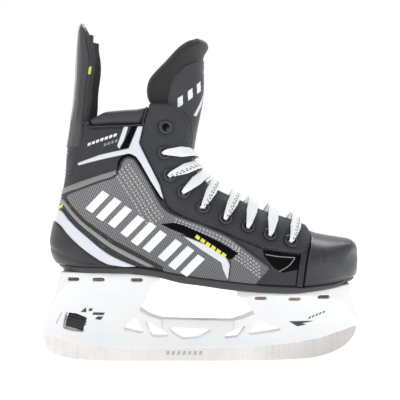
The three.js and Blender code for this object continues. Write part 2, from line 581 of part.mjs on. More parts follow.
function ribbedWheel() {
  const shape = new THREE.Shape();
  const depth = 0.9;
  for (let i = 0; i < 2 * WHEEL_RIBS; i += 1) {
    const angle = (TAU * i) / (2 * WHEEL_RIBS);
    const radius = i % 2 === 0 ? WHEEL_RADIUS : WHEEL_RADIUS - depth;
    const point = [radius * Math.cos(angle), radius * Math.sin(angle)];
    if (i === 0) shape.moveTo(...point);
    else shape.lineTo(...point);
  }
  const geometry = new THREE.ExtrudeGeometry(shape, { depth: WHEEL_LENGTH, bevelEnabled: false });
  const turn = new THREE.Quaternion().setFromUnitVectors(new THREE.Vector3(0, 0, 1), wheelAxis);
  geometry.applyQuaternion(turn);
  const start = alongWheel(-WHEEL_LENGTH / 2);
  geometry.translate(start.x, start.y, start.z);
  const bore = rod(SCREW_RADIUS + GAP, alongWheel(-WHEEL_LENGTH), alongWheel(WHEEL_LENGTH), 12);
  return toSolid(geometry).subtract(bore);
}

const pinAt = alongWheel(HOOK_REACH);
const forkTip = alongWheel(HOOK_REACH - POST_HALF_WIDTH - 1 - SCREW_TRAVEL);
const acrossY = (point, distance) => point.clone().add(new THREE.Vector3(0, distance, 0));
const forkRear = [[forkTip.x - 3, forkTip.z - 1], [forkTip.x - 3, forkTip.z + 3]];
const forkArm = [...forkRear, [pinAt.x + FORK_ARM, pinAt.z + FORK_ARM],
  [pinAt.x + FORK_ARM, pinAt.z - FORK_ARM]];
const forkBlock = [...forkRear, [forkTip.x, forkTip.z + FORK_ARM], [forkTip.x, forkTip.z - 2]];
const lockScrew = unite([
  rod(SCREW_RADIUS, alongWheel(-WHEEL_LENGTH / 2 - 1), forkTip, 12),
  rod(HOOK_PIN_RADIUS, acrossY(pinAt, -FORK_HALF), acrossY(pinAt, FORK_HALF), 8),
  prism(forkArm, -FORK_HALF, -FORK_INSIDE),
  prism(forkArm, FORK_INSIDE, FORK_HALF),
  prism(forkBlock, -FORK_HALF, FORK_HALF),
]);
const wheelRoom = rod(WHEEL_RADIUS + 0.7, alongWheel(-WHEEL_LENGTH / 2 - 2 * GAP),
  alongWheel(WHEEL_LENGTH / 2 + 2 * GAP), 24);
const screwRoom = rod(SCREW_RADIUS + 2 * GAP, alongWheel(-WHEEL_LENGTH / 2 - 3), forkTip, 12);

// ---- rivets ----------------------------------------------------------------------------------
const RIVETS = [[-93, 81.4, 20], [-58, 81, 20], [-116, 81.6, 17], [55, 65.2, 28], [86, 64.2, 28],
  [112, 66.3, 24]];
const SLOT_SIZE = [11, 3.4];
const RIVET_HEAD_PROFILE = [[0, -2], [RIVET_HEAD * 0.75, -1.6], [RIVET_HEAD, -0.1],
  [RIVET_SHANK, -0.1], [RIVET_SHANK, 4], [0, 4]];
const rivetCuts = RIVETS.flatMap(([x, z, y]) => [-1, 1].flatMap((side) => {
  const pocket = new THREE.BoxGeometry(SLOT_SIZE[0], 24, SLOT_SIZE[1]);
  pocket.translate(x, side * (y - RIVET_HEAD - 1 + 12), z - SLOT_SIZE[1] / 2);
  const at = new THREE.Vector3(x, side * y, z - 1);
  return [toSolid(pocket), rod(RIVET_SHANK + GAP, at, at.clone().setZ(z + 9), 8)];
}));
RIVETS.forEach(([x, z, y], i) => {
  for (const [label, , side] of halves) {
    const rivet = lathe(RIVET_HEAD_PROFILE, 8, new THREE.Vector3(x, side * y, z - 0.2),
      new THREE.Vector3(0, 0, 1));
    place(`rivet_${label}_${i + 1}`, rivet, 'copper');
  }
});

// The towers are hollow from the sole down.
function towerPocket(fromX, toX, width, fromZ) {
  const pocket = new THREE.BoxGeometry(toX - fromX, width, 40);
  pocket.translate((fromX + toX) / 2, 0, fromZ + 20);
  return toSolid(pocket);
}
const towerPockets = [towerPocket(-112, -58, 26, 62), towerPocket(56, 116, 32, 55)];

const holderCuts = unite([...towerPockets, ...WINDOWS.map((outline) => prism(outline)), prism(WHEEL_WINDOW),
  runnerSlot, postRoom, wheelRoom, screwRoom, ...rivetCuts]);
place('blade_holder', prism(holderProfile).intersect(holderSection).subtract(holderCuts)
  .subtract(bootSolid(GAP)), 'nylon');
place('runner', runner, 'steel');
place('lock_wheel', ribbedWheel(), 'wheel');
place('lock_screw', lockScrew, 'steel');

export default group;
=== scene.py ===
"""Looks for the ice hockey skate: boot, tongue, guard, lace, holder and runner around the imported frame."""
import math

import bmesh
import bpy
import numpy as np
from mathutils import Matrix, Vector
from mathutils.bvhtree import BVHTree


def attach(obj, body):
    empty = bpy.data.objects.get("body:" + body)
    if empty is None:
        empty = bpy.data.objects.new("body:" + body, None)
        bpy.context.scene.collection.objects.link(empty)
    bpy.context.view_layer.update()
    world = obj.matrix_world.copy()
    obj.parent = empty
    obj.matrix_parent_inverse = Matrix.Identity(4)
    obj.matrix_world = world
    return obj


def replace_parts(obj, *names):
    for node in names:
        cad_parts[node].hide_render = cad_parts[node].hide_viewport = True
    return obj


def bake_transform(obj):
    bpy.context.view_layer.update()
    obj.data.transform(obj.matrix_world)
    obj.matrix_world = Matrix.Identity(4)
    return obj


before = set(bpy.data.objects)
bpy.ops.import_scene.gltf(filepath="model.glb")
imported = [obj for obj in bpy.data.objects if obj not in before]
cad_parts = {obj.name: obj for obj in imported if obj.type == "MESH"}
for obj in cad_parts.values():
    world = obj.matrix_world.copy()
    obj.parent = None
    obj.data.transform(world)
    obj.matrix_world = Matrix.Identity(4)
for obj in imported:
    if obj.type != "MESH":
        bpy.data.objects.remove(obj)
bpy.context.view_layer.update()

MM = 0.001
SIDES = (("lateral", -1.0), ("medial", 1.0))


def detail(full, quick):
    """A count or a step: always the full one. The coarser one of a quick trial, the second argument, is not
    used.
    """
    return full


# ---- colours, linear -----------------------------------------------------------------------


def srgb(red, green, blue):
    """A colour given as 0 to 255 sRGB, as the linear values that shaders take."""
    def linear(value):
        value /= 255
        return value / 12.92 if value <= 0.04045 else ((value + 0.055) / 1.055) ** 2.4
    return (linear(red), linear(green), linear(blue), 1.0)


CHARCOAL = srgb(57, 59, 65)
DARK = srgb(45, 46, 50)
SILVER = srgb(222, 226, 234)
WHITE = srgb(240, 243, 248)
YELLOW = srgb(222, 226, 66)
LINING = srgb(50, 49, 52)


# ---- node materials ------------------------------------------------------------------------
BAND_SCALE = 0.31831               # a wave texture's scale, times the spacing of its bands in metres


class Nodes:
    """A material being built: add() makes a node, and its inputs are values or other outputs."""

    def __init__(self, name):
        self.material = bpy.data.materials.new(name)
        self.material.use_nodes = True
        self.tree = self.material.node_tree
        self.shader = self.tree.nodes["Principled BSDF"]

    def add(self, kind, **settings):
        inputs = settings.pop("inputs", {})
        node = self.tree.nodes.new(kind)
        for key, value in settings.items():
            setattr(node, key, value)
        for key, value in inputs.items():
            self.put(node, key, value)
        return node

    def put(self, node, key, value):
        if isinstance(value, bpy.types.NodeSocket):
            self.tree.links.new(value, node.inputs[key])
        else:
            node.inputs[key].default_value = value

    def object_space(self, scale=(1, 1, 1), turn=(0, 0, 0)):
        where = self.add("ShaderNodeTexCoord").outputs["Object"]
        inputs = {"Vector": where, "Scale": scale, "Rotation": turn}
        return self.add("ShaderNodeMapping", inputs=inputs).outputs["Vector"]

    def noise(self, scale, detail=4.0, roughness=0.5, vector=None):
        inputs = {"Scale": scale, "Detail": detail, "Roughness": roughness,
                  "Vector": vector or self.object_space()}
        return self.add("ShaderNodeTexNoise", inputs=inputs).outputs["Fac"]

    def waves(self, direction, scale, distortion, detail, vector, detail_scale=1.0):
        """Parallel bands, spaced along X or Z."""
        inputs = {"Scale": scale, "Distortion": distortion, "Detail": detail, "Detail Scale": detail_scale,
                  "Vector": vector}
        return self.add("ShaderNodeTexWave", wave_type="BANDS", bands_direction=direction,
                        inputs=inputs).outputs["Fac"]

    def share_along(self, axis, start, end, most=1.0):
        """Grows from 0 to `most` between two places on an axis of the piece."""
        where = self.add("ShaderNodeSeparateXYZ", inputs={"Vector": self.object_space()})
        inputs = {"Value": where.outputs[axis], "From Min": start, "From Max": end, "To Max": most}
        return self.add("ShaderNodeMapRange", inputs=inputs).outputs["Result"]

    def ramp(self, value, *stops):
        """Colours or grey values by position; stops are (position, colour)."""
        node = self.add("ShaderNodeValToRGB", inputs={"Fac": value})
        ramp = node.color_ramp
        while len(ramp.elements) < len(stops):
            ramp.elements.new(0.5)
        for element, (position, colour) in zip(ramp.elements, stops):
            element.position = position
            element.color = colour if hasattr(colour, "__len__") else (colour,) * 3 + (1,)
        return node.outputs["Color"]

    def math(self, operation, *values):
        node = self.add("ShaderNodeMath", operation=operation)
        for slot, value in enumerate(values):
            self.put(node, slot, value)
        return node.outputs[0]

    def linear(self, value, factor, offset=0.0):
        """value * factor + offset"""
        scaled = self.math("MULTIPLY", value, factor)
        return self.math("ADD", scaled, offset) if offset else scaled

    def rest(self, value):
        """1 - value"""
        return self.math("SUBTRACT", 1.0, value)

    def mix(self, factor, first, second):
        node = self.add("ShaderNodeMix", data_type="RGBA")
        for slot, value in ((0, factor), (6, first), (7, second)):
            self.put(node, slot, value)
        return node.outputs[2]

    def bump(self, height, strength, distance, after=None):
        inputs = {"Height": height, "Strength": strength, "Distance": distance}
        if after is not None:
            inputs["Normal"] = after
        return self.add("ShaderNodeBump", inputs=inputs).outputs["Normal"]

    def finish(self, **sockets):
        for key, value in sockets.items():
            self.put(self.shader, key.replace("_", " "), value)
        return self.material


def tint(colour, factor):
    """A lighter or darker form of a colour."""
    return tuple(min(1.0, c * factor) for c in colour[:3]) + (1.0,)


def leather(name, colour, roughness=0.5, grain=1.0, coat=0.0):
    """Fine pebbled synthetic leather, slightly mottled."""
    m = Nodes(name)
    pebbles = m.add("ShaderNodeTexVoronoi", feature="DISTANCE_TO_EDGE",
                    inputs={"Scale": 1100, "Vector": m.object_space()}).outputs["Distance"]
    cells = m.ramp(pebbles, (0.0, 0.0), (0.32, 1.0))
    shade = m.ramp(m.noise(55, 5), (0.3, tint(colour, 0.86)), (0.7, tint(colour, 1.12)))
    shade = m.mix(m.linear(m.rest(cells), 0.28), shade, tint(colour, 0.55))
    normal = m.bump(cells, 0.22 * grain, 0.0002)
    normal = m.bump(m.noise(1900, 3), 0.12 * grain, 0.0002, normal)
    rough = m.ramp(m.noise(120, 4), (0.3, roughness - 0.07), (0.7, roughness + 0.1))
    return m.finish(Base_Color=shade, Roughness=rough, Normal=normal, Coat_Weight=coat, Coat_Roughness=0.3,
                    Specular_IOR_Level=0.35)


def moulded(name, colour, roughness=0.38, coat=0.0, texture=1.0):
    """Injection-moulded plastic: faint flow marks, fine matt texture and a few scuffs."""
    m = Nodes(name)
    flow = m.noise(22, 3, vector=m.object_space((1, 1, 3)))
    shade = m.ramp(flow, (0.25, tint(colour, 0.9)), (0.75, tint(colour, 1.08)))
    scuffs = m.ramp(m.noise(160, 8, 0.7, m.object_space((1, 1, 5), (0, 0.5, 0))), (0.62, 0.0), (0.74, 1.0))
    shade = m.mix(m.linear(scuffs, 0.12), shade, tint(colour, 1.7))
    rough = m.math("ADD", m.linear(m.noise(210, 5), 0.16, roughness - 0.08), m.linear(scuffs, 0.1))
    normal = m.bump(m.noise(2300, 2), 0.08 * texture, 0.0002)
    return m.finish(Base_Color=shade, Roughness=rough, Normal=normal, Coat_Weight=coat, Coat_Roughness=0.12)


def graded_plastic(name, low, high, start, end, roughness):
    """Moulded plastic that shades from one colour to another with height."""
    m = Nodes(name)
    shade = m.mix(m.share_along("Z", start, end), low, high)
    shade = m.mix(m.linear(m.noise(26, 4), 0.3), shade, tint(low, 0.8))
    rough = m.linear(m.noise(200, 5), 0.16, roughness - 0.08)
    return m.finish(Base_Color=shade, Roughness=rough, Normal=m.bump(m.noise(2100, 2), 0.08, 0.0002),
                    Coat_Weight=0.1, Coat_Roughness=0.2)


def cloth(name, colour, spacing):
    """A plain weave of two sets of threads, `spacing` metres apart."""
    m = Nodes(name)
    space = m.object_space()
    warp, weft = (m.waves(axis, BAND_SCALE / spacing, 0.6, 1.0, space, 2.0) for axis in "XZ")
    weave = m.math("MULTIPLY", warp, weft)
    shade = m.mix(m.noise(40, 4), tint(colour, 0.9), tint(colour, 1.08))
    shade = m.mix(m.linear(m.rest(weave), 0.3), shade, tint(colour, 0.5))
    height = m.math("ADD", weave, m.linear(m.noise(2600, 4, 0.65), 0.6))
    return m.finish(Base_Color=shade, Roughness=0.9, Normal=m.bump(height, 0.5, 0.0003),
                    Sheen_Weight=0.15, Sheen_Roughness=0.5)


def fleece(name, colour):
    """Felt or brushed lining: short tangled fibres."""
    m = Nodes(name)
    fibres = m.noise(900, 8, 0.75, m.object_space((1, 1, 0.35), (0.4, 0.3, 0)))
    clumps = m.noise(120, 4, 0.6)
    shade = m.mix(fibres, tint(colour, 0.62), tint(colour, 1.35))
    shade = m.mix(m.linear(clumps, 0.35), shade, tint(colour, 0.7))
    height = m.math("ADD", fibres, m.linear(clumps, 0.8))
    return m.finish(Base_Color=shade, Roughness=0.95, Normal=m.bump(height, 0.6, 0.0006),
                    Sheen_Weight=0.25, Sheen_Roughness=0.6)


def woven_composite(name, thread_angle, light, dark, spacing):
    """Coated carbon-look panel: fine diagonal threads, darker towards the sole."""
    m = Nodes(name)
    space = m.object_space(turn=(0, thread_angle, 0))
    threads = m.waves("X", BAND_SCALE / spacing, 0.5, 2.0, space, 3.0)
    steps = m.waves("Z", BAND_SCALE / (spacing * 1.6), 1.2, 2.0, space)
    twill = m.math("ADD", m.linear(threads, 0.75), m.linear(steps, 0.25))
    twill = m.ramp(twill, (0.3, 0.0), (0.62, 1.0))
    shade = m.mix(twill, dark, light)
    shade = m.mix(m.linear(m.noise(30, 3), 0.25), shade, tint(light, 0.8))
    shade = m.mix(m.share_along("Z", 0.165, 0.085, 0.4), shade, tint(dark, 0.9))
    return m.finish(Base_Color=shade, Roughness=m.linear(twill, -0.12, 0.52),
                    Normal=m.bump(twill, 0.35, 0.00025), Coat_Weight=0.25, Coat_Roughness=0.25)


def gloss(name, colour, roughness=0.16, coat=0.5, reflection=0.5):
    """Glossy printed film with a faint ripple."""
    m = Nodes(name)
    shade = m.mix(m.noise(45, 3), tint(colour, 0.94), tint(colour, 1.05))
    return m.finish(Base_Color=shade, Roughness=m.linear(m.noise(260, 4), 0.1, roughness),
                    Normal=m.bump(m.noise(160, 2), 0.06, 0.0003), Coat_Weight=coat, Coat_Roughness=0.08,
                    Specular_IOR_Level=reflection)


def brushed_steel(name):
    """Ground stainless steel: fine scratches across the blade, and painted shade that darkens its front end.
    """
    m = Nodes(name)
    scratches = m.noise(700, 6, 0.7, m.object_space((1, 1, 0.02)))
    shade = m.mix(m.noise(35, 4), srgb(214, 211, 208), srgb(236, 234, 232))
    # painted shade: the colour darkens towards the front end of the blade
    shade = m.mix(m.share_along("X", 0.04, 0.13), shade, srgb(188, 183, 180))
    shade = m.mix(m.ramp(scratches, (0.5, 0.0), (0.8, 0.35)), shade, srgb(140, 136, 132))
    return m.finish(Base_Color=shade, Metallic=1.0, Roughness=m.linear(scratches, 0.22, 0.14),
                    Normal=m.bump(scratches, 0.14, 0.0002), Anisotropic=0.6)


def copper(name):
    """Slightly spotted copper."""
    m = Nodes(name)
    spots = m.noise(500, 5)
    shade = m.mix(spots, srgb(196, 112, 70), srgb(236, 160, 118))
    return m.finish(Base_Color=shade, Metallic=1.0, Roughness=m.linear(spots, 0.2, 0.2),
                    Normal=m.bump(spots, 0.1, 0.0002))


MARKED = 0.1                       # added to the width coordinate of strands that have woven dashes


def lace_cloth(name):
    """Flat braided polyester: herringbone ribs, and two rows of dark dashes on the strands that have them."""
    m = Nodes(name)
    uv = m.add("ShaderNodeUVMap", uv_map="lace").outputs["UV"]
    ribs = []
    eighth_turn, ribs_scale = 0.7854, 300.0
    for turn in (eighth_turn, -eighth_turn):
        slanted = m.add("ShaderNodeMapping", inputs={"Vector": uv, "Rotation": (0, 0, turn)})
        ribs.append(m.waves("X", ribs_scale, 0.4, 1.0, slanted.outputs["Vector"]))
    braid = m.math("MAXIMUM", *ribs)
    shade = m.mix(m.linear(m.rest(braid), 0.22), srgb(250, 250, 249), srgb(196, 198, 204))
    place = m.add("ShaderNodeSeparateXYZ", inputs={"Vector": uv}).outputs
    rows = []
    for middle, half, spacing, filled in ((0.0022, 0.0006, 0.0036, 0.6), (0.0006, 0.0004, 0.0051, 0.45)):
        row = m.math("COMPARE", place["Y"], MARKED + middle, half)
        dash = m.math("LESS_THAN", m.math("FRACT", m.math("DIVIDE", place["X"], spacing)), filled)
        rows.append(m.math("MULTIPLY", row, dash))
    shade = m.mix(m.linear(m.math("MAXIMUM", *rows), 0.85), shade, srgb(48, 49, 54))
    height = m.math("ADD", braid, m.linear(m.noise(2500, 4, 0.7), 0.5))
    return m.finish(Base_Color=shade, Roughness=0.85, Normal=m.bump(height, 0.35, 0.0003),
                    Sheen_Weight=0.2, Sheen_Roughness=0.5, Subsurface_Weight=0.08)


def thread(name, colour):
    """Twisted sewing thread."""
    m = Nodes(name)
    twist = m.noise(1800, 3, 0.6)
    return m.finish(Base_Color=m.mix(twist, tint(colour, 0.7), tint(colour, 1.2)), Roughness=0.7,
                    Normal=m.bump(twist, 0.4, 0.0002))


def nylon(name, colour):
    """Glass-filled white nylon: satin, very slightly cloudy, with fine fibre marks."""
    m = Nodes(name)
    fibres = m.noise(700, 5, 0.6, m.object_space((0.3, 1, 1)))
    shade = m.mix(m.noise(40, 4), tint(colour, 0.965), tint(colour, 1.0))
    return m.finish(Base_Color=shade, Roughness=m.linear(fibres, 0.16, 0.26),
                    Normal=m.bump(fibres, 0.05, 0.0002), Subsurface_Weight=0.05)


MATERIALS = {
    "leather": leather("synthetic_leather", CHARCOAL, 0.6),
    "leather_dark": leather("rear_synthetic_leather", srgb(54, 55, 60), 0.52),
    "collar": leather("collar_leather", srgb(64, 66, 70), 0.5, 0.7),
    "toe": graded_plastic("toe_cap_plastic", srgb(38, 40, 44), srgb(64, 66, 71), 0.08, 0.118, 0.36),
    "counter": graded_plastic("heel_counter_plastic", srgb(33, 33, 37), srgb(46, 47, 51), 0.09, 0.13,
                              0.36),
    "guard": graded_plastic("tendon_guard_plastic", srgb(52, 53, 58), srgb(55, 56, 61), 0.205, 0.27, 0.42),
    "sole": moulded("sole_composite", srgb(53, 53, 55), 0.42),
    "lining": fleece("lining_microfibre", LINING),
    "felt": fleece("tongue_felt", srgb(31, 31, 33)),
    "footbed": cloth("footbed_cloth", srgb(60, 61, 66), 0.0011),
    "tongue": leather("tongue_cover", srgb(56, 58, 63), 0.34, 0.8, 0.1),
    "panel": woven_composite("woven_panel", math.radians(-24), srgb(138, 139, 141), srgb(64, 65, 69),
                             0.0018),
    "panel_light": woven_composite("light_woven_band", math.radians(18), srgb(146, 144, 142),
                                   srgb(120, 119, 118), 0.0011),
    "nub": gloss("carbon_nub", srgb(172, 174, 175), 0.3),
    "nub_dark": gloss("carbon_groove", srgb(104, 106, 106), 0.35),
    "silver": gloss("silver_trim", SILVER, 0.24),
    "white": gloss("white_print", WHITE, 0.3),
    "black": gloss("black_gloss", srgb(5, 5, 8), 0.2, 0.0, 0.06),
    "dark": moulded("dark_trim", DARK, 0.45),
    "grey": moulded("grey_stripe", srgb(150, 148, 143), 0.4),
    # A pale strip down the guard's back: a painted highlight, lighter towards the top.
    "guard_light": graded_plastic("guard_painted_highlight_strip", srgb(112, 113, 116), srgb(186, 187, 187), 0.225,
                                  0.265, 0.3),
    "holder_print": moulded("holder_print", srgb(58, 60, 64), 0.4),
    # Pale grey for a painted shadow line on the holder, and for the etched dashes on the steel.
    "holder_shade": moulded("holder_shadow_line_and_etching", srgb(176, 180, 186), 0.4),
    "stripe_line": moulded("thin_stripe", srgb(150, 150, 152), 0.4),
    "yellow": gloss("yellow_print", YELLOW, 0.35),
    "stitch": thread("dark_thread", srgb(17, 17, 19)),
    "lace": lace_cloth("braided_lace"),
    "eyelet": moulded("eyelet_lacquer", srgb(44, 44, 49), 0.3, 0.3, 0.5),
    "nylon": nylon("holder_nylon", srgb(236, 237, 238)),
    "steel": brushed_steel("runner_steel"),
    "copper": copper("rivet_copper"),
    "wheel": moulded("lock_wheel_nylon", srgb(38, 38, 42), 0.45),
}


# ---- the boot's outer surface, in millimetres like every outline below ------------------------
REAR_LINE = [(-119, 252), (-122, 229), (-127.5, 197), (-129, 176), (-134, 149), (-140, 126), (-142, 110),
             (-138, 96), (-129, 87)]
SOLE_LINE = [(-129, 87), (-92, 86.5), (-57, 86), (-36, 82), (-18, 77.6), (0, 75.4), (36, 71), (78, 69),
             (100, 70.5), (138, 74.2)]
TOE_LINE = [(138, 74.2), (144.4, 77.6), (147.7, 84), (148.8, 93), (148.7, 102)]
INSTEP_LINE = [(1, 252), (-1, 228), (-1, 203), (5, 184), (12, 175), (24, 167.5)]
VAMP_LINE = [(24, 167.5), (41, 158.5), (60, 148.5), (82, 140), (98, 130.8), (107, 122.4), (136, 117)]
TOE_TOP_LINE = [(136, 117), (142.6, 115.2), (147, 110.4), (148.7, 102)]
FOOT_WIDTHS = [(-150, 30), (-110, 33), (-60, 36), (-20, 40), (20, 46), (55, 50), (90, 49.5), (120, 46),
               (150, 42)]
ANKLE_HALF_WIDTH = 41
TOE_START, TOE_MIDDLE = 135, (100, 0, 96)
THINNEST = 0.05                    # of a slab, under the deepest groove
DECAL_BACK = -2.0                  # how far the backs of printed marks lie under the surface


def spline(points, at):
    """Points on a Catmull-Rom curve through `points`, at the shares of it given in `at`."""
    p = np.array(points, float)
    last = len(p) - 1
    position = np.atleast_1d(np.asarray(at, float)) * last
    i = np.clip(np.floor(position).astype(int), 0, last - 1)
    w = (position - i)[:, None]
    before, here = p[np.clip(i - 1, 0, last)], p[i]
    after, beyond = p[i + 1], p[np.clip(i + 2, 0, last)]
    v0, v1 = (after - before) / 2, (beyond - here) / 2
    cubic = 2 * here - 2 * after + v0 + v1
    square = 3 * after - 3 * here - 2 * v0 - v1
    return cubic * w**3 + square * w**2 + v0 * w + here


FINE = np.linspace(0, 1, 241)
REAR, SOLE, TOE = (spline(line, FINE) for line in (REAR_LINE, SOLE_LINE, TOE_LINE))
TOP = np.vstack([spline(line, FINE) for line in (INSTEP_LINE, VAMP_LINE, TOE_TOP_LINE)])


def distance_to(line, x, z):
    """Distance from each point to a polyline."""
    line = np.asarray(line, float)
    ax, az = line[:-1].T
    dx, dz = np.diff(line, axis=0).T
    length = np.maximum(dx * dx + dz * dz, 1e-9)
    shape = np.shape(x)
    x, z = np.ravel(x), np.ravel(z)
    best = np.empty(len(x))
    for start in range(0, len(x), 1500):
        px, pz = x[start:start + 1500, None] - ax, z[start:start + 1500, None] - az
        t = np.clip((px * dx + pz * dz) / length, 0, 1)
        best[start:start + 1500] = np.sqrt(((px - t * dx) ** 2 + (pz - t * dz) ** 2).min(axis=1))
    return best.reshape(shape)


def inside_distance(outline, x, z):
    """Distance to a closed outline, positive inside it."""
    loop = list(outline) + [outline[0]]
    inside = np.zeros(np.shape(x), bool)
    for (ax, az), (bx, bz) in zip(loop[:-1], loop[1:]):
        if az != bz:
            inside ^= ((az > z) != (bz > z)) & (x < (bx - ax) * (z - az) / (bz - az) + ax)
    return np.where(inside, 1.0, -1.0) * distance_to(loop, x, z)


def smooth(value, start, end):
    """Eases from 0 to 1 between two values."""
    t = np.clip((value - start) / (end - start), 0, 1)
    return t * t * (3 - 2 * t)


def round_off(distance, radius):
    """A quarter of an ellipse: 0 at the edge, 1 from one radius inwards."""
    t = np.clip(distance / radius, 0, 1)
    return np.sqrt(np.maximum(0, 1 - (1 - t) ** 2))


def half_width(x, z):
    """Half the boot's width at [x, z]: the foot's and the ankle's, rounded off towards each outline."""
    x, z = np.asarray(x, float), np.asarray(z, float)
    foot = np.interp(x, *zip(*FOOT_WIDTHS))
    full = foot + (ANKLE_HALF_WIDTH - foot) * smooth(z, 110, 190)
    heel_radius, instep_radius = 34 + 18 * smooth(z, 140, 225), 40 - 14 * smooth(x, 80, 120)
    toe_radius, sole_radius = 46, 9
    rear = round_off(distance_to(REAR, x, z), heel_radius)
    top = round_off(distance_to(TOP, x, z), instep_radius) ** 2
    toe = round_off(distance_to(TOE, x, z), toe_radius) ** 2
    nose = np.sqrt(top * toe / np.maximum(top + toe - top * toe, 1e-9))
    sole = 0.9 + 0.1 * round_off(distance_to(SOLE, x, z), sole_radius)
    return full * rear * nose * sole


def unit(vectors):
    """Vectors brought to length 1."""
    return vectors / np.maximum(np.linalg.norm(vectors, axis=-1, keepdims=True), 1e-9)


class Grid:
    """Rows and columns of points, in millimetres, with their outward normals."""

    points = normals = None

    @property
    def x(self):
        return self.points[..., 0]

    @property
    def z(self):
        return self.points[..., 2]


class Surface(Grid):
    """A grid on the lateral side of the boot. Lateral is -Y."""

    def __init__(self, x, z, mirrored_ends=False):
        y = -half_width(x, z)
        if mirrored_ends:
            y[:, -1] = 0
            y[-1] = 0
            y[:, 0][np.abs(y[:, 0]) < 1] = 0
        self.points = np.stack([x, y, z], -1)
        along = np.gradient(self.points, axis=0)
        if mirrored_ends:
            flip = np.array([1, -1, 1])
            first = np.where(y[:, :1, None] == 0, self.points[:, 1:2] * flip,
                             2 * self.points[:, :1] - self.points[:, 1:2])
            wide = np.concatenate([first, self.points, self.points[:, -2:-1] * flip], 1)
            across = (wide[:, 2:] - wide[:, :-2]) / 2
        else:
            across = np.gradient(self.points, axis=1)
        normal = unit(np.cross(along, across))
        if mirrored_ends:
            normal[y == 0, 1] = 0
            normal[-1] = (1, 0, 0.1)
            from_middle = np.sum(normal * (self.points - TOE_MIDDLE), -1)
            inward = np.where(x > TOE_START, from_middle < 0, normal[..., 1] > 0)
            normal[inward] *= -1
            normal = unit(normal)
        self.normals = normal


def whole_side(rows=(150, 240, 46), columns=130):
    """The whole side: rows run from the rear, sole and toe lines to the instep, vamp and toe top lines."""
    low, high = [], []
    pairs = ((REAR_LINE, INSTEP_LINE), (SOLE_LINE, VAMP_LINE), (TOE_LINE, TOE_TOP_LINE))
    for (lower, upper), count in zip(pairs, rows):
        share = np.linspace(0, 1, count + 1)
        if lower is SOLE_LINE:
            share = 0.5 - 0.5 * np.cos(math.pi * share)     # closer together at both ends
        if lower is TOE_LINE:
            share = 1 - (1 - share) ** 1.6                  # closer together at the tip
        low.append(spline(lower, share[1 if low else 0:]))
        high.append(spline(upper, share[1 if high else 0:]))
    low, high = np.vstack(low), np.vstack(high)
    t = np.cumsum(np.sin(math.pi * (np.arange(columns) + 0.5) / columns) + 0.08)
    t = np.concatenate([[0], t / t[-1]])
    grid = low[:, None] + (high - low)[:, None] * t[None, :, None]
    return Surface(grid[..., 0], grid[..., 1], mirrored_ends=True)


SIDE = whole_side()


def patch(outline, pitch):
    """A finer grid over the part of the side that an outline covers."""
    xs, zs = zip(*outline)
    x = np.arange(min(xs) - 2 * pitch, max(xs) + 3 * pitch, pitch)
    z = np.arange(min(zs) - 2 * pitch, max(zs) + 3 * pitch, pitch)
    gx, gz = np.meshgrid(x, z, indexing="ij")
    return Surface(gx, gz)


def clip_cells(field):
    """Marching squares over a grid of signed distances. Returns the new corners on the edge, each as two
    grid corners and the share between them, and the polygons as lists of corners, new ones last."""
    rows, columns = field.shape
    inside = field > 0
    corner = np.arange(rows * columns).reshape(rows, columns)
    cells = [corner[:-1, :-1], corner[1:, :-1], corner[1:, 1:], corner[:-1, 1:]]
    full = inside[:-1, :-1] & inside[1:, :-1] & inside[1:, 1:] & inside[:-1, 1:]
    some = (inside[:-1, :-1] | inside[1:, :-1] | inside[1:, 1:] | inside[:-1, 1:]) & ~full
    polygons = np.stack([c[full] for c in cells], -1).tolist()
    flat, keep = field.ravel(), inside.ravel()
    extra, crossing = [], {}
    for quad in np.stack([c[some] for c in cells], -1).tolist():
        polygon = []
        for a, b in zip(quad, quad[1:] + quad[:1]):
            if keep[a]:
                polygon.append(a)
            if keep[a] != keep[b]:
                key = (min(a, b), max(a, b))
                if key not in crossing:
                    share = flat[key[0]] / (flat[key[0]] - flat[key[1]])
                    share = min(max(share, 0.02), 0.98)
                    crossing[key] = rows * columns + len(extra)
                    extra.append((key[0], key[1], share))
                polygon.append(crossing[key])
        if len(polygon) > 2:
            polygons.append(polygon)
    return extra, polygons


# ---- building pieces ---------------------------------------------------------------------------
def make(name, points, polygons, material, body="boot", sharp=38, slot=None):
    """A mesh from points in millimetres, riding on a body (None leaves that to the caller)."""
    mesh = bpy.data.meshes.new(name)
    mesh.from_pydata((np.asarray(points, float) * MM).tolist(), [], polygons)
    mesh.materials.append(MATERIALS[material])
    mesh.shade_smooth()
    mesh.set_sharp_from_angle(angle=math.radians(sharp))
    piece = bpy.data.objects.new(name, mesh)
    bpy.context.scene.collection.objects.link(piece)
    if body:
        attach(piece, body)
    return piece


def edges_of(polygons):
    """The directed edges that only one polygon has: the rim of an open sheet."""
    seen = set()
    for polygon in polygons:
        seen.update(zip(polygon, polygon[1:] + polygon[:1]))
    return [(a, b) for a, b in seen if (b, a) not in seen]


def mirror(points):
    """The same points on the other side of the skate."""
    return np.asarray(points) * np.array([1.0, -1.0, 1.0])


def edit_mesh(piece, change):
    """Changes a piece's mesh by way of bmesh."""
    work = bmesh.new()
    work.from_mesh(piece.data)
    change(work)
    work.to_mesh(piece.data)
    work.free()
    return piece


def weld(work):
    """Merges the vertices that lie together, as where a piece's two halves meet."""
    bmesh.ops.remove_doubles(work, verts=work.verts, dist=2e-5)
    bmesh.ops.dissolve_degenerate(work, edges=work.edges, dist=1e-7)


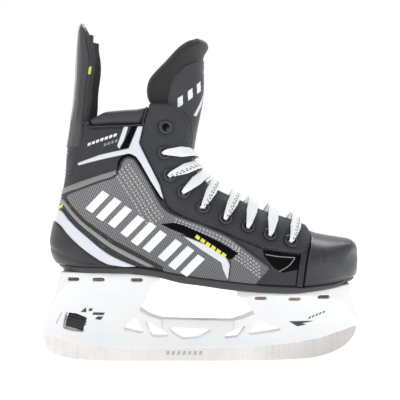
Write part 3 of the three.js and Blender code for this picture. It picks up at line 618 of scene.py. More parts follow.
def slab(surface, field, top, bottom, edge=1.0, wall=0.5, relief=None):
    """A closed sheet over the part of a surface where field is positive. Its top is rounded off towards
    its edge over `edge` millimetres, down to `wall` of its thickness. Returns its points and polygons."""
    extra, polygons = clip_cells(field)
    points, normals = surface.points.reshape(-1, 3), surface.normals.reshape(-1, 3)
    depth = field.ravel()
    if extra:
        a, b, share = (np.array(column) for column in zip(*extra))
        a, b, share = a.astype(int), b.astype(int), share[:, None]
        points = np.vstack([points, points[a] * (1 - share) + points[b] * share])
        normals = np.vstack([normals, normals[a] * (1 - share) + normals[b] * share])
        depth = np.concatenate([depth, np.zeros(len(a))])
    used = np.unique(np.concatenate([np.array(p) for p in polygons]))
    number = np.full(len(points), -1)
    number[used] = np.arange(len(used))
    points, normals, depth = points[used], unit(normals[used]), depth[used]
    polygons = [[int(number[i]) for i in polygon] for polygon in polygons]
    height = bottom + (top - bottom) * (wall + (1 - wall) * round_off(depth, edge))
    if relief is not None:
        height = np.maximum(height + relief(points[:, 0], points[:, 2], depth), bottom + THINNEST)
    count = len(points)
    both = np.vstack([points + normals * height[:, None], points + normals * bottom])
    middle = np.abs(points[:, 1]) < 1e-6
    sides = [[b, a, a + count, b + count] for a, b in edges_of(polygons) if not (middle[a] and middle[b])]
    under = [[i + count for i in reversed(polygon)] for polygon in polygons]
    return both, polygons + under + sides


def turned(polygons):
    """The same polygons facing the other way."""
    return [polygon[::-1] for polygon in polygons]


def pair(name, surface, field, material, top, bottom, slot=None, **form):
    """The same slab on the lateral and the medial side, as two pieces."""
    return pair_of(name, *slab(surface, field, top, bottom, **form), material, slot, sharp=38)


def whole(name, surface, field, material, top, bottom, slot=None, **form):
    """One piece that runs across the middle of the skate, from both sides' slabs."""
    points, polygons = slab(surface, field, top, bottom, **form)
    points, polygons = gather([(points, polygons), (mirror(points), turned(polygons))])
    return edit_mesh(make(name, points, polygons, material, slot=slot), weld)


def inside(outline, surface=None):
    """How far each point of a grid lies inside an outline; the side's, if no other is given."""
    surface = surface or SIDE
    return inside_distance(outline, surface.x, surface.z)


def decal(name, outline, material, top, edge=0.5, wall=0.6):
    """A small slab on a fine grid of its own."""
    grid = patch(outline, 0.6)
    pair(name, grid, inside(outline, grid), material, top, DECAL_BACK, edge=edge, wall=wall)


def along(path, step):
    """Points at equal steps along a polyline, which is rounded at its corners."""
    path = np.asarray(path, float)
    fine = spline(path, np.linspace(0, 1, 40 * len(path)))
    run = np.concatenate([[0], np.cumsum(np.linalg.norm(np.diff(fine, axis=0), axis=1))])
    count = max(2, int(round(run[-1] / step)) + 1)
    at = np.linspace(0, run[-1], count)
    return np.stack([np.interp(at, run, fine[:, k]) for k in range(fine.shape[1])], -1)


def on_side(xz, lift=0.0):
    """Points on the lateral side at the given [x, z], and the outward normals there."""
    x, z = np.asarray(xz, float).T
    step = 0.4
    dx = (half_width(x + step, z) - half_width(x - step, z)) / (2 * step)
    dz = (half_width(x, z + step) - half_width(x, z - step)) / (2 * step)
    normal = unit(np.stack([-dx, -np.ones_like(dx), -dz], -1))
    return np.stack([x, -half_width(x, z), z], -1) + normal * lift, normal


def tube(rows, ring):
    """The polygons of a row of rings of points, closed at both ends."""
    sides = [[i * ring + k, i * ring + (k + 1) % ring, (i + 1) * ring + (k + 1) % ring, (i + 1) * ring + k]
             for i in range(rows - 1) for k in range(ring)]
    return sides + [list(range(ring))[::-1], [(rows - 1) * ring + k for k in range(ring)]]


def sweep(points, normals, width, height, sink=0.2, sides=6):
    """A half-round strand along a line of points; width and height may be lists. Closed at both ends."""
    points, normals = np.asarray(points, float), np.asarray(normals, float)
    aside = unit(np.cross(normals, unit(np.gradient(points, axis=0))))
    width = np.broadcast_to(width, len(points))[:, None]
    height = np.broadcast_to(height, len(points))[:, None]
    rings = []
    for k in range(sides + 1):
        angle = math.pi * k / sides
        rings.append(points + aside * (width / 2 * math.cos(angle)) + normals * (height * math.sin(angle)))
    rings += [points - aside * width / 2 - normals * sink, points + aside * width / 2 - normals * sink]
    return np.stack(rings, 1).reshape(-1, 3), tube(len(points), len(rings))


def gather(parts):
    """Joins several (points, polygons) into one."""
    points, polygons, start = [], [], 0
    for some_points, some_polygons in parts:
        points.append(some_points)
        polygons += [[i + start for i in polygon] for polygon in some_polygons]
        start += len(some_points)
    return np.vstack(points), polygons


def pair_of(name, points, polygons, material, slot=None, body="boot", sharp=60):
    """A lateral form and its mirror image, as two pieces."""
    return [make(f"{name}_{label}", points if sign < 0 else mirror(points),
                 polygons if sign < 0 else turned(polygons), material, body, sharp, slot)
            for label, sign in SIDES]


def piping(name, path, material, width, height, lift, taper=0.0):
    """A bead along a line on both sides of the boot."""
    xz = along(path, 0.9)
    points, normals = on_side(xz, lift)
    share = np.linspace(0, 1, len(points))
    thin = 1 - taper * smooth(np.abs(share - 0.5), 0.38, 0.5)
    return pair_of(name, *sweep(points, normals, width * thin, height), material)


def stitches(name, paths, lift, length=2.5, gap=0.9, width=1.0, material="stitch"):
    """Rows of single stitches along lines on both sides of the boot."""
    step, flattest, height = 0.25, 0.06, 0.34
    pitch, span = int(round((length + gap) / step)), int(round(length / step))
    parts = []
    for path in paths:
        xz = along(path, step)
        for start in range(0, len(xz) - span, pitch):
            points, normals = on_side(xz[start:start + span + 1:2], lift)
            share = np.linspace(-1, 1, len(points))
            bow = np.sqrt(np.maximum(flattest, 1 - share**2))
            parts.append(sweep(points, normals, width * (0.5 + 0.5 * bow), height * bow, sides=4))
    return pair_of(name, *gather(parts), material)


# ---- outlines on the side of the boot, [x, z] ----------------------------------------------------
BELOW = 50
OUTSOLE_TOP = [(-150, 92), (-54, 91), (-36, 88.5), (-18, 85), (0, 82.5), (27, 79.5), (60, 76.5), (90, 75),
               (118, 76.6), (137, 78.4), (150, 81.4), (165, 84)]
TOE_SEAM = [(105, 127), (100, 114), (96.6, 105), (94, 93), (91.6, 75)]
EYESTAY_SEAM = [(-45.5, 240), (-49.5, 225.5), (-51.5, 217), (-54.9, 202.6), (-51.6, 197.7), (-44.8, 184.4),
                (-37.5, 170.5), (-33.5, 156), (-30.5, 148), (-26, 143), (-15.5, 137), (0, 131), (17.8, 125),
                (32, 119), (46.7, 113), (56, 109), (70.8, 106.8), (96, 104.4)]
LIP_TOP = [(-45, 240), (-23, 238.8), (-15.5, 235.5), (-9.5, 229), (20, 225), (60, 170), (102, 140)]
COLLAR_SEAM = [(-150, 226), (-104, 224.5), (-100, 218.5), (-54, 219.5), (-51.5, 221)]
COLLAR_TOP = [(-103.5, 226), (-98, 228.2), (-88, 232.6), (-56, 234.8), (-47, 236.6)]
COUNTER_TOP = [(-155, 134), (-138, 133.4), (-133.6, 132.1), (-128.3, 129.1), (-122.6, 122.9), (-116.3, 116.8),
               (-108.3, 109.9), (-99.6, 103.3), (-90.8, 97.7), (-83.2, 94), (-68, 91.6)]
WHITE_TOP = [(-155, 144), (-137, 143.6), (-128.9, 142.3), (-121.6, 135.1), (-113.4, 127.4), (-104.3, 119.9),
             (-92.7, 110.1), (-83.2, 103.4), (-73.2, 98.3), (-57.8, 92)]
STRIPE_TOP = [(-155, 160), (-136, 158.5), (-127.5, 157.5), (-122.8, 153.6), (-116.2, 146.1), (-104.1, 134.4),
              (-90.7, 124.6), (-77.1, 115.4), (-62.6, 107.8), (-48, 100.2), (-33.5, 92)]
PANEL = [(-124, 156.8), (-116.4, 159.9), (-90, 169), (-77.5, 173.1), (-73.1, 179.4), (-69.9, 187.2),
         (-65.5, 190.6), (-60.5, 189.8), (-56.6, 185.6), (-44.8, 165.9), (-36.2, 150.2), (-28.7, 142),
         (-13.4, 135.5), (4.5, 129), (24, 120.5), (36, 112), (48, 103), (57, 96.5), (61.9, 92), (60, 88.5),
         (50.6, 78.6), (50, 60), (-33.5, 60), (-33.5, 92)] + STRIPE_TOP[-2:2:-1]
THROAT_PLAN = [(-40, 25), (10, 25), (40, 23.5), (78, 20), (92, 15), (100, 6), (104, 0)]
EYELETS = [(-31, 218), (-32, 195), (-27, 175), (-14.5, 160), (3, 146.5), (23, 136.5), (43, 129), (62.5, 122),
           (81, 116)]


def between(upper, lower, share):
    """A line part of the way from one line to another."""
    at = np.linspace(0, 1, 24)
    return [tuple(p) for p in spline(upper, at) * (1 - share) + spline(lower, at) * share]


def band(upper, lower, start, end):
    """The outline of a strip between two lines, from one share of the way across to another."""
    return between(upper, lower, start) + between(upper, lower, end)[::-1]


def grooves(lines, depth, width):
    """A relief that presses lines into a piece."""
    def relief(x, z, _):
        height = np.zeros_like(x)
        for line in lines:
            height -= depth * np.exp(-(distance_to(line, x, z) / width) ** 2)
        return height
    return relief


def above_sole(gap):
    """The part of the side above the sole's band, less a gap."""
    return inside(OUTSOLE_TOP + [(160, 300), (-160, 300)]) - gap


def behind_eyestay(surface=None):
    """The part of the side behind the eyestay, and a little under its edge."""
    return inside(EYESTAY_SEAM + [(96, BELOW), (-160, BELOW), (-160, 240)], surface) + 1


def eyelet_holes(field, radius):
    """A field with a round hole at each eyelet."""
    for spot in EYELETS:
        centre = on_side([spot])[0][0]
        field = np.minimum(field, np.linalg.norm(SIDE.points - centre, axis=-1) - radius)
    return field


def replace_pair(pieces, node):
    """Each piece of a pair stands for the CAD node of its own side."""
    for piece, (label, _) in zip(pieces, SIDES):
        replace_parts(piece, f"{node}_{label}")


def upper():
    """The boot's quarters, eyestays, toe cap and heel counter."""
    quarter = COLLAR_SEAM + EYESTAY_SEAM[2:] + TOE_SEAM[2:] + [(91, BELOW), (-160, BELOW), (-160, 226)]
    ridges = [[(-150, z), (-127, z), (-118, z - 0.5)] for z in (199, 195.5, 180, 176.5)]
    pieces = pair("quarter", SIDE, np.minimum(inside(quarter), above_sole(0.4)), "leather_dark", -1.7, -3.9,
                  "synthetic_leather", edge=0.8, relief=grooves(ridges, 0.7, 0.9))
    replace_pair(pieces, "quarter")

    eyestay = LIP_TOP + TOE_SEAM[:3] + EYESTAY_SEAM[:0:-1]
    throat = np.interp(SIDE.x, *zip(*THROAT_PLAN))
    lip = (np.abs(SIDE.points[..., 1]) - throat) * np.where(SIDE.z > 100, 1, 100)
    field = eyelet_holes(np.minimum(inside(eyestay), lip), 4.2)

    def pillow(x, z, depth):
        """Swells a little between the edges, with a hollow round each eyelet."""
        near = np.min([np.hypot(x - ex, z - ez) for ex, ez in EYELETS], axis=0)
        return 0.45 * smooth(depth, 2, 11) - 0.5 * np.exp(-((near - 5.5) / 2.6) ** 2)
    pieces = pair("eyestay", SIDE, field, "leather", -0.2, -3.9, "synthetic_leather", edge=2.4, wall=0.35,
                  relief=pillow)
    replace_pair(pieces, "eyestay")

    toe = TOE_SEAM + [(91, BELOW), (165, BELOW), (165, 150), (102, 150)]
    ribs = [[(110.5, 106), (109.2, 98), (107, 90)], [(150, 82.5), (120, 79.5), (95, 78.2)]]
    field = np.minimum(inside(toe), above_sole(0.3))
    cap = whole("toe_cap_shell", SIDE, field, "toe", 0, -3.2, "moulded_black", edge=2.0, wall=0.3,
                relief=grooves(ribs, 0.6, 0.8))
    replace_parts(cap, "toe_cap")

    counter = COUNTER_TOP + [(-68, 60), (-160, 60)]
    crease = [[(-150, 112), (-128, 103), (-110, 97.5), (-92, 94.5)]]
    field = np.minimum(inside(counter), above_sole(-0.2))
    heel = whole("heel_counter_shell", SIDE, field, "counter", 0.1, -1.5, "moulded_black", edge=2.6,
                 wall=0.25, relief=grooves(crease, 0.5, 1.6))
    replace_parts(heel, "heel_counter")


def outsole():
    """The sole: a band up the sides with a rounded lip, and the flat underneath."""
    lip = [[(-150, 89), (-54, 88), (0, 79.4), (60, 73.6), (90, 72.4), (150, 79)]]
    field = inside(OUTSOLE_TOP + [(165, 0), (-165, 0)])
    sides = whole("outsole_band", SIDE, field, "sole", 0.0, -3.9, "sole_composite", edge=1.6, wall=0.3,
                  relief=grooves(lip, 0.3, 0.7))
    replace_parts(sides, "outsole")
    edge = SIDE.points[:, 0]
    wide = edge[np.abs(edge[:, 1]) > 1]
    bottom = np.stack([wide * [1, lane, 1] + [0, 0, -0.1] for lane in np.linspace(-1, 1, 13)], 1)
    ceiling = bottom + [0, 0, 3.4]
    rows, lanes = bottom.shape[:2]
    grid = np.vstack([bottom.reshape(-1, 3), ceiling.reshape(-1, 3)])
    quads = [[r * lanes + c, r * lanes + c + 1, (r + 1) * lanes + c + 1, (r + 1) * lanes + c]
             for r in range(rows - 1) for c in range(lanes - 1)]
    lid = [[i + rows * lanes for i in quad][::-1] for quad in quads]
    walls = [[b, a, a + rows * lanes, b + rows * lanes] for a, b in edges_of(quads)]
    make("outsole_plate", grid, turned(quads + lid + walls), "sole", slot="sole_composite")


def inner_boot():
    """The lining seen through the collar, and the padded collar rolls."""
    lining = [(-160, 224.5), (-100, 217), (-54, 218.5), (-51, 236), (-25, 236), (-13, 232), (-12, 205),
              (0, 180), (30, 150), (60, 135), (100, 122), (128, 104), (126, 88), (60, 84), (10, 88),
              (-30, 95), (-62, 99.5), (-160, 99.5)]
    field = eyelet_holes(inside(lining), 3.4)
    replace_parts(whole("lining", SIDE, field, "lining", -4.8, -7.6, "lining", edge=1.5), "liner")

    roll = COLLAR_TOP + [(-49.8, 226), (-53.5, 220.4), (-99, 219.6)]
    pieces = pair("collar_roll", SIDE, inside(roll), "collar", 0.2, -8.6, "synthetic_leather", edge=6.0,
                  wall=0.15)
    replace_pair(pieces, "collar_pad")


upper()
outsole()
inner_boot()


# ---- graphics, trims and stitching -------------------------------------------------------------
LIGHT_BAND = [(-150, 158), (-124.8, 164.7), (-98.8, 172.2), (-77.4, 178.6), (-74.6, 180.6), (-77, 175.4),
              (-78.5, 172.6), (-111.3, 162.8), (-122.9, 160.2), (-150, 152)]
Y_TRIM = [(-55.9, 218.6), (-51.3, 218.6), (-54.6, 203.8), (-51.6, 196.8), (-44.8, 183.4), (-36.3, 166.2),
          (-32.6, 153), (-35.6, 155.4), (-44.8, 169.1), (-53.5, 185.4), (-57.6, 191), (-64.1, 193.6),
          (-71.7, 192.5), (-89.9, 188.7), (-111.3, 184), (-112.2, 186.2), (-90, 193.3), (-64.1, 198.9)]
Y_SHADOW = [(-74, 179), (-72.4, 186), (-69.6, 190.4), (-65.4, 193.1), (-60.4, 192.3), (-55.6, 187.3),
            (-43.6, 167.2), (-34, 151.5)]
BLACK_STRIP = [(-61, 218.6), (-56.6, 218.6), (-64.6, 199.6), (-71.4, 198.2)]
# A painted highlight: the pale reflection beside the glossy black strip.
HIGHLIGHT_SLIVER = [(-68.3, 218.4), (-64.3, 218.4), (-68.3, 206.2), (-72.6, 198.4), (-74.4, 201.2)]
NAME_BAND = [(-35.7, 130.9), (-22.4, 132.2), (-13.6, 129.6), (-0.3, 123.5), (17.8, 115.1), (34.3, 105.3),
             (27.3, 99.2), (8, 109.3), (-15.5, 122), (-26.9, 126.4)]
WHITE_STRIPE = [(-17, 121.1), (3.6, 113.6), (23.1, 101.4), (26.6, 94.7), (24.9, 80.5), (20.5, 90.2),
                (18.7, 96.8), (0, 108.7)]
BLACK_WEDGE = [(55.7, 108.3), (83.3, 104.6), (93, 103.6), (91.6, 92), (85.8, 90.6), (73.4, 87.9),
               (65.4, 92.3), (56.6, 103)]
BAR_GROUPS = [(-82.5, 144), (-51, 122), (-17, 100.5)]
BAR_RUN = (0.829, -0.559)
BAR_LEAN = (0.70, 0.714)


def beside(line, distance):
    """A line moved to its left."""
    p = np.asarray(line, float)
    run = unit(np.gradient(p, axis=0))
    return [tuple(q) for q in p + np.stack([-run[:, 1], run[:, 0]], -1) * distance]


def leaning_bar(centre, run, lean, width, height):
    """A parallelogram: width is along `run`, height along `lean`."""
    c, u, w = (np.asarray(v, float) for v in (centre, run, lean))
    corners = ((-1, -1), (1, -1), (1, 1), (-1, 1))
    return [tuple(c + u * (a * width / 2) + w * (b * height / 2)) for a, b in corners]


def several(name, outlines, material, top, bottom, pitch=0.45):
    """Small flat marks, joined into one piece for each side."""
    parts = []
    for outline in outlines:
        grid = patch(outline, pitch)
        parts.append(slab(grid, inside(outline, grid), top, bottom, edge=0.4, wall=0.6))
    return pair_of(name, *gather(parts), material)


def side_bands():
    """The bands that sweep round the heel, and the woven panel between them and the eyestay."""
    stack = [("stripe_dark_upper", 0, 0.13, "dark"), ("stripe_line_upper", 0.13, 0.17, "stripe_line"),
             ("stripe_dark_second", 0.17, 0.29, "dark"), ("stripe_grey", 0.29, 0.58, "grey"),
             ("stripe_dark_third", 0.58, 0.76, "dark"), ("stripe_line_lower", 0.76, 0.8, "stripe_line"),
             ("stripe_dark_lower", 0.8, 1, "dark")]
    for name, start, end, material in stack:
        field = np.minimum(inside(band(STRIPE_TOP, WHITE_TOP, start, end)), above_sole(0.2))
        whole(name, SIDE, field, material, -0.95 if "line" in name else -1.1, -2.0, edge=0.5)
    silver = band(WHITE_TOP, between(COUNTER_TOP, WHITE_TOP, -0.12), 0, 1)
    field = np.minimum(inside(silver), above_sole(0.2))
    whole("heel_band_silver", SIDE, field, "silver", -0.95, -2.0, edge=0.5)
    field = np.minimum(np.minimum(inside(PANEL), above_sole(0.2)), behind_eyestay())
    pair("woven_panel", SIDE, field, "panel", -1.15, -2.0, "quarter_panel", edge=0.9)
    whole("rear_light_band", SIDE, inside(LIGHT_BAND), "panel_light", -1.15, -2.0, edge=0.6)
    piping("panel_rim", PANEL[:21], "dark", 1.9, 0.75, -1.35, taper=0.3)


def nub_rows():
    """Rows of short bright nubs on the woven panel, along its front edge and towards the toe."""
    front_edge = [(-61, 187), (-44.8, 162), (-36.2, 147), (-29, 138)]
    rows = [beside(front_edge, -distance) for distance in (4.2, 7.4, 11.2, 14.4, 18.6)]
    toe_rows = [[(28, 112 - 3.2 * k), (40, 104.5 - 3.4 * k), (54, 92.5 - 3.2 * k)] for k in range(4)]
    top_edge = [(-22, 136), (4, 126.5), (24, 117.5), (38, 108)]
    top_rows = [beside(top_edge, -distance) for distance in (0.6, 3.4)]
    stitches("panel_nubs", rows + toe_rows + top_rows, -1.18, length=2.0, gap=1.25, width=1.7, material="nub")
    grooves_between = [beside(front_edge, -distance) for distance in (5.8, 9.3, 12.8, 16.5)]
    stitches("panel_grooves", grooves_between, -1.22, length=2.0, gap=1.25, width=1.3, material="nub_dark")


def dash_row(name, material, top, back, start, run, lean, steps, size):
    """Leaning dashes in a row; steps are the first one's distance from the start, the pitch and the count."""
    first, pitch, count = steps
    centres = [np.array(start) + np.array(run) * (pitch * k + first) for k in range(count)]
    several(name, [leaning_bar(centre, run, lean, *size) for centre in centres], material, top, back, 0.35)


def side_marks():
    """Plain printed and raised marks: leaning bars, dashes and trims, none of them lettering, with a painted
    highlight sliver and painted highlight lines on the gloss black pieces.
    """
    bars = []
    for x, z in BAR_GROUPS:
        for step, height in ((-1, 23), (0, 25), (1, 23)):
            centre = (x + BAR_RUN[0] * 12.2 * step, z + BAR_RUN[1] * 12.2 * step)
            bars.append(leaning_bar(centre, BAR_RUN, BAR_LEAN, 7.6, height))
    several("leaning_bars", bars, "white", -0.72, -1.5, 0.6)
    decal("y_trim", Y_TRIM, "silver", -0.55, edge=0.9, wall=0.4)
    piping("y_trim_shadow", Y_SHADOW, "black", 2.8, 0.9, -1.35, taper=0.6)
    decal("black_strip", BLACK_STRIP, "black", -0.95)
    # painted highlight: a silver sliver beside the black strip stands for its reflection
    decal("painted_highlight_sliver", HIGHLIGHT_SLIVER, "silver", -0.95)
    decal("name_band", NAME_BAND, "black", -0.7, edge=0.7)
    decal("white_stripe", WHITE_STRIPE, "silver", -0.6, edge=0.7)
    piping("white_stripe_rim", WHITE_STRIPE[:5], "dark", 1.3, 0.5, -1.1)

    dash_row("yellow_dashes", "yellow", -0.45, -1.2, (-4.2, 120.5), (0.832, -0.555), (0.5, 0.866),
             (2.4, 5.6, 6), (4.3, 3.4))
    dash_row("white_dashes", "white", -1.35, -2.1, (-101, 203.2), (0.955, 0.297), (0.25, 0.97),
             (0, 4.3, 7), (3.2, 2.9))
    dash_row("pale_dashes", "grey", -1.38, -2.1, (-85.5, 202.4), (0.955, 0.297), (0.25, 0.97),
             (0, 3.6, 4), (2.4, 2.6))

    wedge = patch(BLACK_WEDGE, 0.7)
    field = np.minimum(inside(BLACK_WEDGE, wedge), behind_eyestay(wedge))
    pair("black_wedge", wedge, field, "black", -1.0, -2.4, edge=0.8)
    # Two painted highlight lines in grey across the gloss black wedge.
    piping("black_wedge_highlight_line", [(58, 104.3), (70, 102.4), (84, 101.6)], "grey", 0.8, 0.35, -1.05)
    piping("black_wedge_second_highlight", [(84.5, 101.5), (79, 94.5), (70, 89)], "grey", 0.8, 0.35, -1.05)
    tag = [(-134, 147.4), (-127.6, 149.6), (-127.2, 146.4), (-134, 143.6)]
    whole("heel_tag", SIDE, inside(tag), "yellow", -0.8, -2.0, edge=0.3)


def toe_strip():
    """A stitched strip that runs down behind the toe cap's edge."""
    front, rear = TOE_SEAM[2:], beside(TOE_SEAM[2:], -6.4)
    field = np.minimum(inside(front + rear[::-1]), above_sole(0.2))
    pair("toe_strip", SIDE, field, "leather", -0.5, -2.6, edge=0.9)
    piping("toe_strip_rim", rear, "black", 1.2, 0.5, -1.6)
    rows = [beside(front, -distance) for distance in (2.6, 4.4)]
    stitches("toe_strip_stitches", rows, -0.62, length=2.1, gap=1.0, width=0.9)


def seams():
    """Stitching, and the beads where pieces of the upper meet."""
    inner = beside(EYESTAY_SEAM[2:-1], 1.6)
    stitches("eyestay_stitches", [inner, beside(EYESTAY_SEAM[4:-1], 4.0)], -0.35)
    lip = [(-20, 235.4), (-13, 231.4), (-8.5, 224), (-6.8, 212), (-7, 200), (-3.6, 188)]
    stitches("lip_stitches", [lip], -0.45)
    stitches("toe_stitches", [beside(TOE_SEAM[1:3], -2.4), beside(TOE_SEAM[1:4], 2.2)], -0.3)
    stitches("collar_stitches", [beside(COLLAR_SEAM[2:4], -2.2)], -1.6, length=2.1)
    collar = [(-108, 223.6), (-103, 222), (-100, 218.9), (-54, 219.9), (-51.4, 223), (-47.5, 236)]
    piping("collar_bead", collar, "dark", 1.8, 1.0, -1.2)
    piping("toe_bead", TOE_SEAM[1:], "black", 1.3, 0.5, -0.4)
    for k, z in enumerate((199, 195.6, 180, 176.8)):
        field = np.minimum(0.8 - np.abs(SIDE.z - z), -116.5 - SIDE.x)
        whole(f"rear_rib_{k + 1}", SIDE, field, "dark", -1.0, -2.0, edge=0.8, wall=0.2)


side_bands()
nub_rows()
side_marks()
toe_strip()
seams()


# ---- tongue, tendon guard and footbed ------------------------------------------------------------
class Sheet(Grid):
    """A grid with each point's distance to the sheet's four edges, in millimetres."""

    def __init__(self, points, flip=False):
        self.points = points
        along, across = np.gradient(points, axis=0), np.gradient(points, axis=1)
        self.normals = unit(np.cross(along, across) * (-1 if flip else 1))
        down = np.linalg.norm(np.diff(points, axis=0), axis=-1)
        down = np.vstack([np.zeros(points.shape[1]), np.cumsum(down, axis=0)])
        over = np.linalg.norm(np.diff(points, axis=1), axis=-1)
        over = np.hstack([np.zeros((len(points), 1)), np.cumsum(over, axis=1)])
        self.left = over
        self.edge = np.min([down, down[-1:] - down, over, over[:, -1:] - over], axis=0) + 0.01


def arched(stations, rows, columns, facing):
    """Points on an arched sheet. A station is [x, z, outward x, outward z, sweep, half width]; the sweep is
    how far the edges lie behind the middle, against the outward direction."""
    table = along(stations, 0.4)
    table = table[np.linspace(0, len(table) - 1, rows + 1).round().astype(int)]
    outward = table[:, 2:4] / np.linalg.norm(table[:, 2:4], axis=1, keepdims=True)
    even = np.linspace(-1, 1, columns + 1)
    v = 0.5 * np.sin(even * math.pi / 2) + 0.5 * even
    drop = table[:, 4:5] * v ** 2
    x = table[:, 0:1] - outward[:, 0:1] * drop
    z = table[:, 1:2] - outward[:, 1:2] * drop
    return Sheet(np.stack([x, table[:, 5:6] * v, z], -1), flip=facing < 0)


TONGUE_PATH = [(88, 124), (70, 132), (50, 141), (30, 151), (14, 161), (2, 173), (-5, 186), (-7.2, 197)]
TONGUE_UPPER = [(-6, 206, 9, 24), (-4.6, 215, 14, 26), (-2.6, 225, 24, 29), (-0.8, 234, 36, 32),
                (1, 244, 46, 36), (2.4, 258, 47, 38), (2.4, 270, 38, 37), (2.8, 280, 28.5, 34),
                (4, 288, 19.5, 31), (7, 293.6, 12, 27), (10.2, 297, 9, 23)]
COVER_EDGE = [(-30, 236), (-29, 246), (-27, 256), (-22, 267), (-14, 276), (-5, 281), (2, 284), (9, 290),
              (12, 296)]
GUARD_STATIONS = [(-126.6, 201, 16.5, 29.6), (-124.6, 213, 16, 29.6), (-122.9, 224, 15.6, 29.4),
                  (-121.6, 232, 15.4, 28.8), (-120.3, 241, 15.6, 28), (-119, 256, 15, 26.8),
                  (-118.2, 268, 16, 26.4), (-117.8, 278, 17, 26), (-117.2, 287, 16, 25.6),
                  (-116.4, 297, 13.2, 25), (-115.6, 306, 11, 23.4), (-114.8, 313, 8, 19.5),
                  (-113.6, 318, 4.6, 12.5), (-111.7, 321.6, 1.4, 5)]


def tongue_sheet(finer=1):
    """The tongue's middle surface, up the throat and then above the boot."""
    path = np.array(TONGUE_PATH, float)
    halves = np.interp(path[:, 0], [-7, 20, 88], [24, 26, 20])
    stations = []
    for (x, z), (dx, dz), half in zip(path, np.gradient(path, axis=0), halves):
        length = math.hypot(dz, -dx)
        stations.append((x, z, dz / length, -dx / length, 10 * (half / 26) ** 2, half))
    stations += [(x, z, 1, -0.2 * smooth(z, 278, 298), sweep, half) for x, z, sweep, half in TONGUE_UPPER]
    return arched(stations, detail(170, 60) * finer, detail(64, 24) * finer, -1)


def tongue():
    """The felt pad, its quilted cover, and the marks on the cover's front."""
    sheet = tongue_sheet()
    form = slab(sheet, sheet.edge, -0.4, -6.6, edge=5.5, wall=0.35)
    felt = make("tongue_felt_pad", *form, "felt", body=None, slot="felt")
    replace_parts(felt, "tongue_felt", "tongue_lower")
    region = COVER_EDGE + [(60, 296), (140, 200), (140, 90), (60, 100), (-14, 150), (-30, 190)]
    field = np.minimum(inside(region, sheet), sheet.edge - 2.5)
    seam = [(-24, 240), (-22, 252), (-17, 262), (-8, 270), (8, 276), (20, 277)]

    def quilting(x, z, depth):
        return 0.5 * smooth(depth, 1, 9) - 0.6 * np.exp(-(distance_to(seam, x, z) / 1.1) ** 2)
    form = slab(sheet, field, 0.9, -1.2, edge=2.2, wall=0.4, relief=quilting)
    cover = make("tongue_front", *form, "tongue", body=None, slot="tongue_cover")
    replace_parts(cover, "tongue_top")
    pieces = [felt, cover]
    fine = tongue_sheet(2)
    middle = fine.left.shape[1] // 2
    across = fine.left - fine.left[:, middle:middle + 1]
    bars = [leaning_bar((32 - 9.6 * k, 243 + 7.2 * k), (-0.8, 0.6), (0.2, 0.98), 6.4, 9.5) for k in range(3)]
    wedge = [(3, 254), (9, 243), (15, 231), (10, 231), (4, 243)]
    for label, side in SIDES:
        for name, outlines, top, edge, material in (("bars", bars, 1.75, 0.4, "white"),
                                                    ("wedge", [wedge], 1.7, 0.6, "silver")):
            fields = [inside_distance(outline, across * side, fine.z) for outline in outlines]
            parts = [slab(fine, field, top, 0.2, edge=edge, wall=0.6) for field in fields]
            pieces.append(make(f"tongue_{name}_{label}", *gather(parts), material, body=None))
    for piece in pieces:
        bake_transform(piece)


def tendon_guard():
    """The guard's shell, lining, a pale back strip that is a painted highlight, and two small tags."""
    stations = [(x, z, -1, 0, sweep, half) for x, z, sweep, half in GUARD_STATIONS]
    rows = detail(150, 50)
    sheet = arched(stations, rows, detail(120, 24), 1)
    rim, y, z = sheet.edge, sheet.points[..., 1], sheet.z

    def ribs(x, z, depth):
        """Two raised ribs down the back with a hollow beside each, and welts round the rim."""
        share = np.interp(z, [201, 321], [1, 0.55])
        middle = np.interp(z, *zip(*[(station[1], station[0]) for station in GUARD_STATIONS]))
        across = np.interp(x - middle, [0, 1, 4, 9, 16], [0, 7, 14, 21, 28])
        rib = np.exp(-((across - 9 * share) / 1.5) ** 2) - 0.8 * np.exp(-((across - 16 * share) / 3.2) ** 2)
        welts = sum(np.exp(-((depth - line) / 0.75) ** 2) for line in (3.2, 6.2))
        return (0.5 * rib * smooth(depth, 1.5, 6) - 0.6 * welts) * smooth(z, 214, 232)
    form = slab(sheet, rim - 3.8 * smooth(z, 216, 236), 0, -3, edge=1.8, wall=0.4, relief=ribs)
    shell = make("guard_shell", *form, "guard", body=None, slot="moulded_black")
    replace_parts(shell, "tendon_guard")
    square = [station[:4] + (max(station[4], 12.5), max(station[5], 24)) for station in stations
              if station[1] < 308]
    square = arched(square, rows, detail(72, 24), 1)
    form = slab(square, np.minimum(square.edge - 0.4, square.z - 212), -2.6, -7.2, edge=1.5)
    lining = make("guard_lining", *form, "lining", body=None, slot="lining")
    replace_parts(lining, "tendon_guard_liner")
    # The pale strip down the middle of the back is a painted highlight.
    strip = np.min([14 * np.interp(z, [230, 318], [1, 0.5]) - np.abs(y), z - 226, 318 - z], axis=0)
    back = slab(sheet, strip, 0.55, -0.8, edge=2.4, wall=0.2)
    pieces = [shell, lining, make("guard_painted_highlight_strip", *back, "guard_light", body=None)]
    for label, side in SIDES:
        own_side = np.where(y * side > 0, 4.0, -4.0)
        field = np.min([own_side, rim - 0.8, z - 268.4, 275.6 - z, 2.9 - (rim - 0.8)], axis=0)
        tag = slab(sheet, field, -2.1, -3.4, edge=0.5)
        pieces.append(make(f"guard_tag_{label}", *tag, "yellow", body=None))
    for piece in pieces:
        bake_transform(piece)


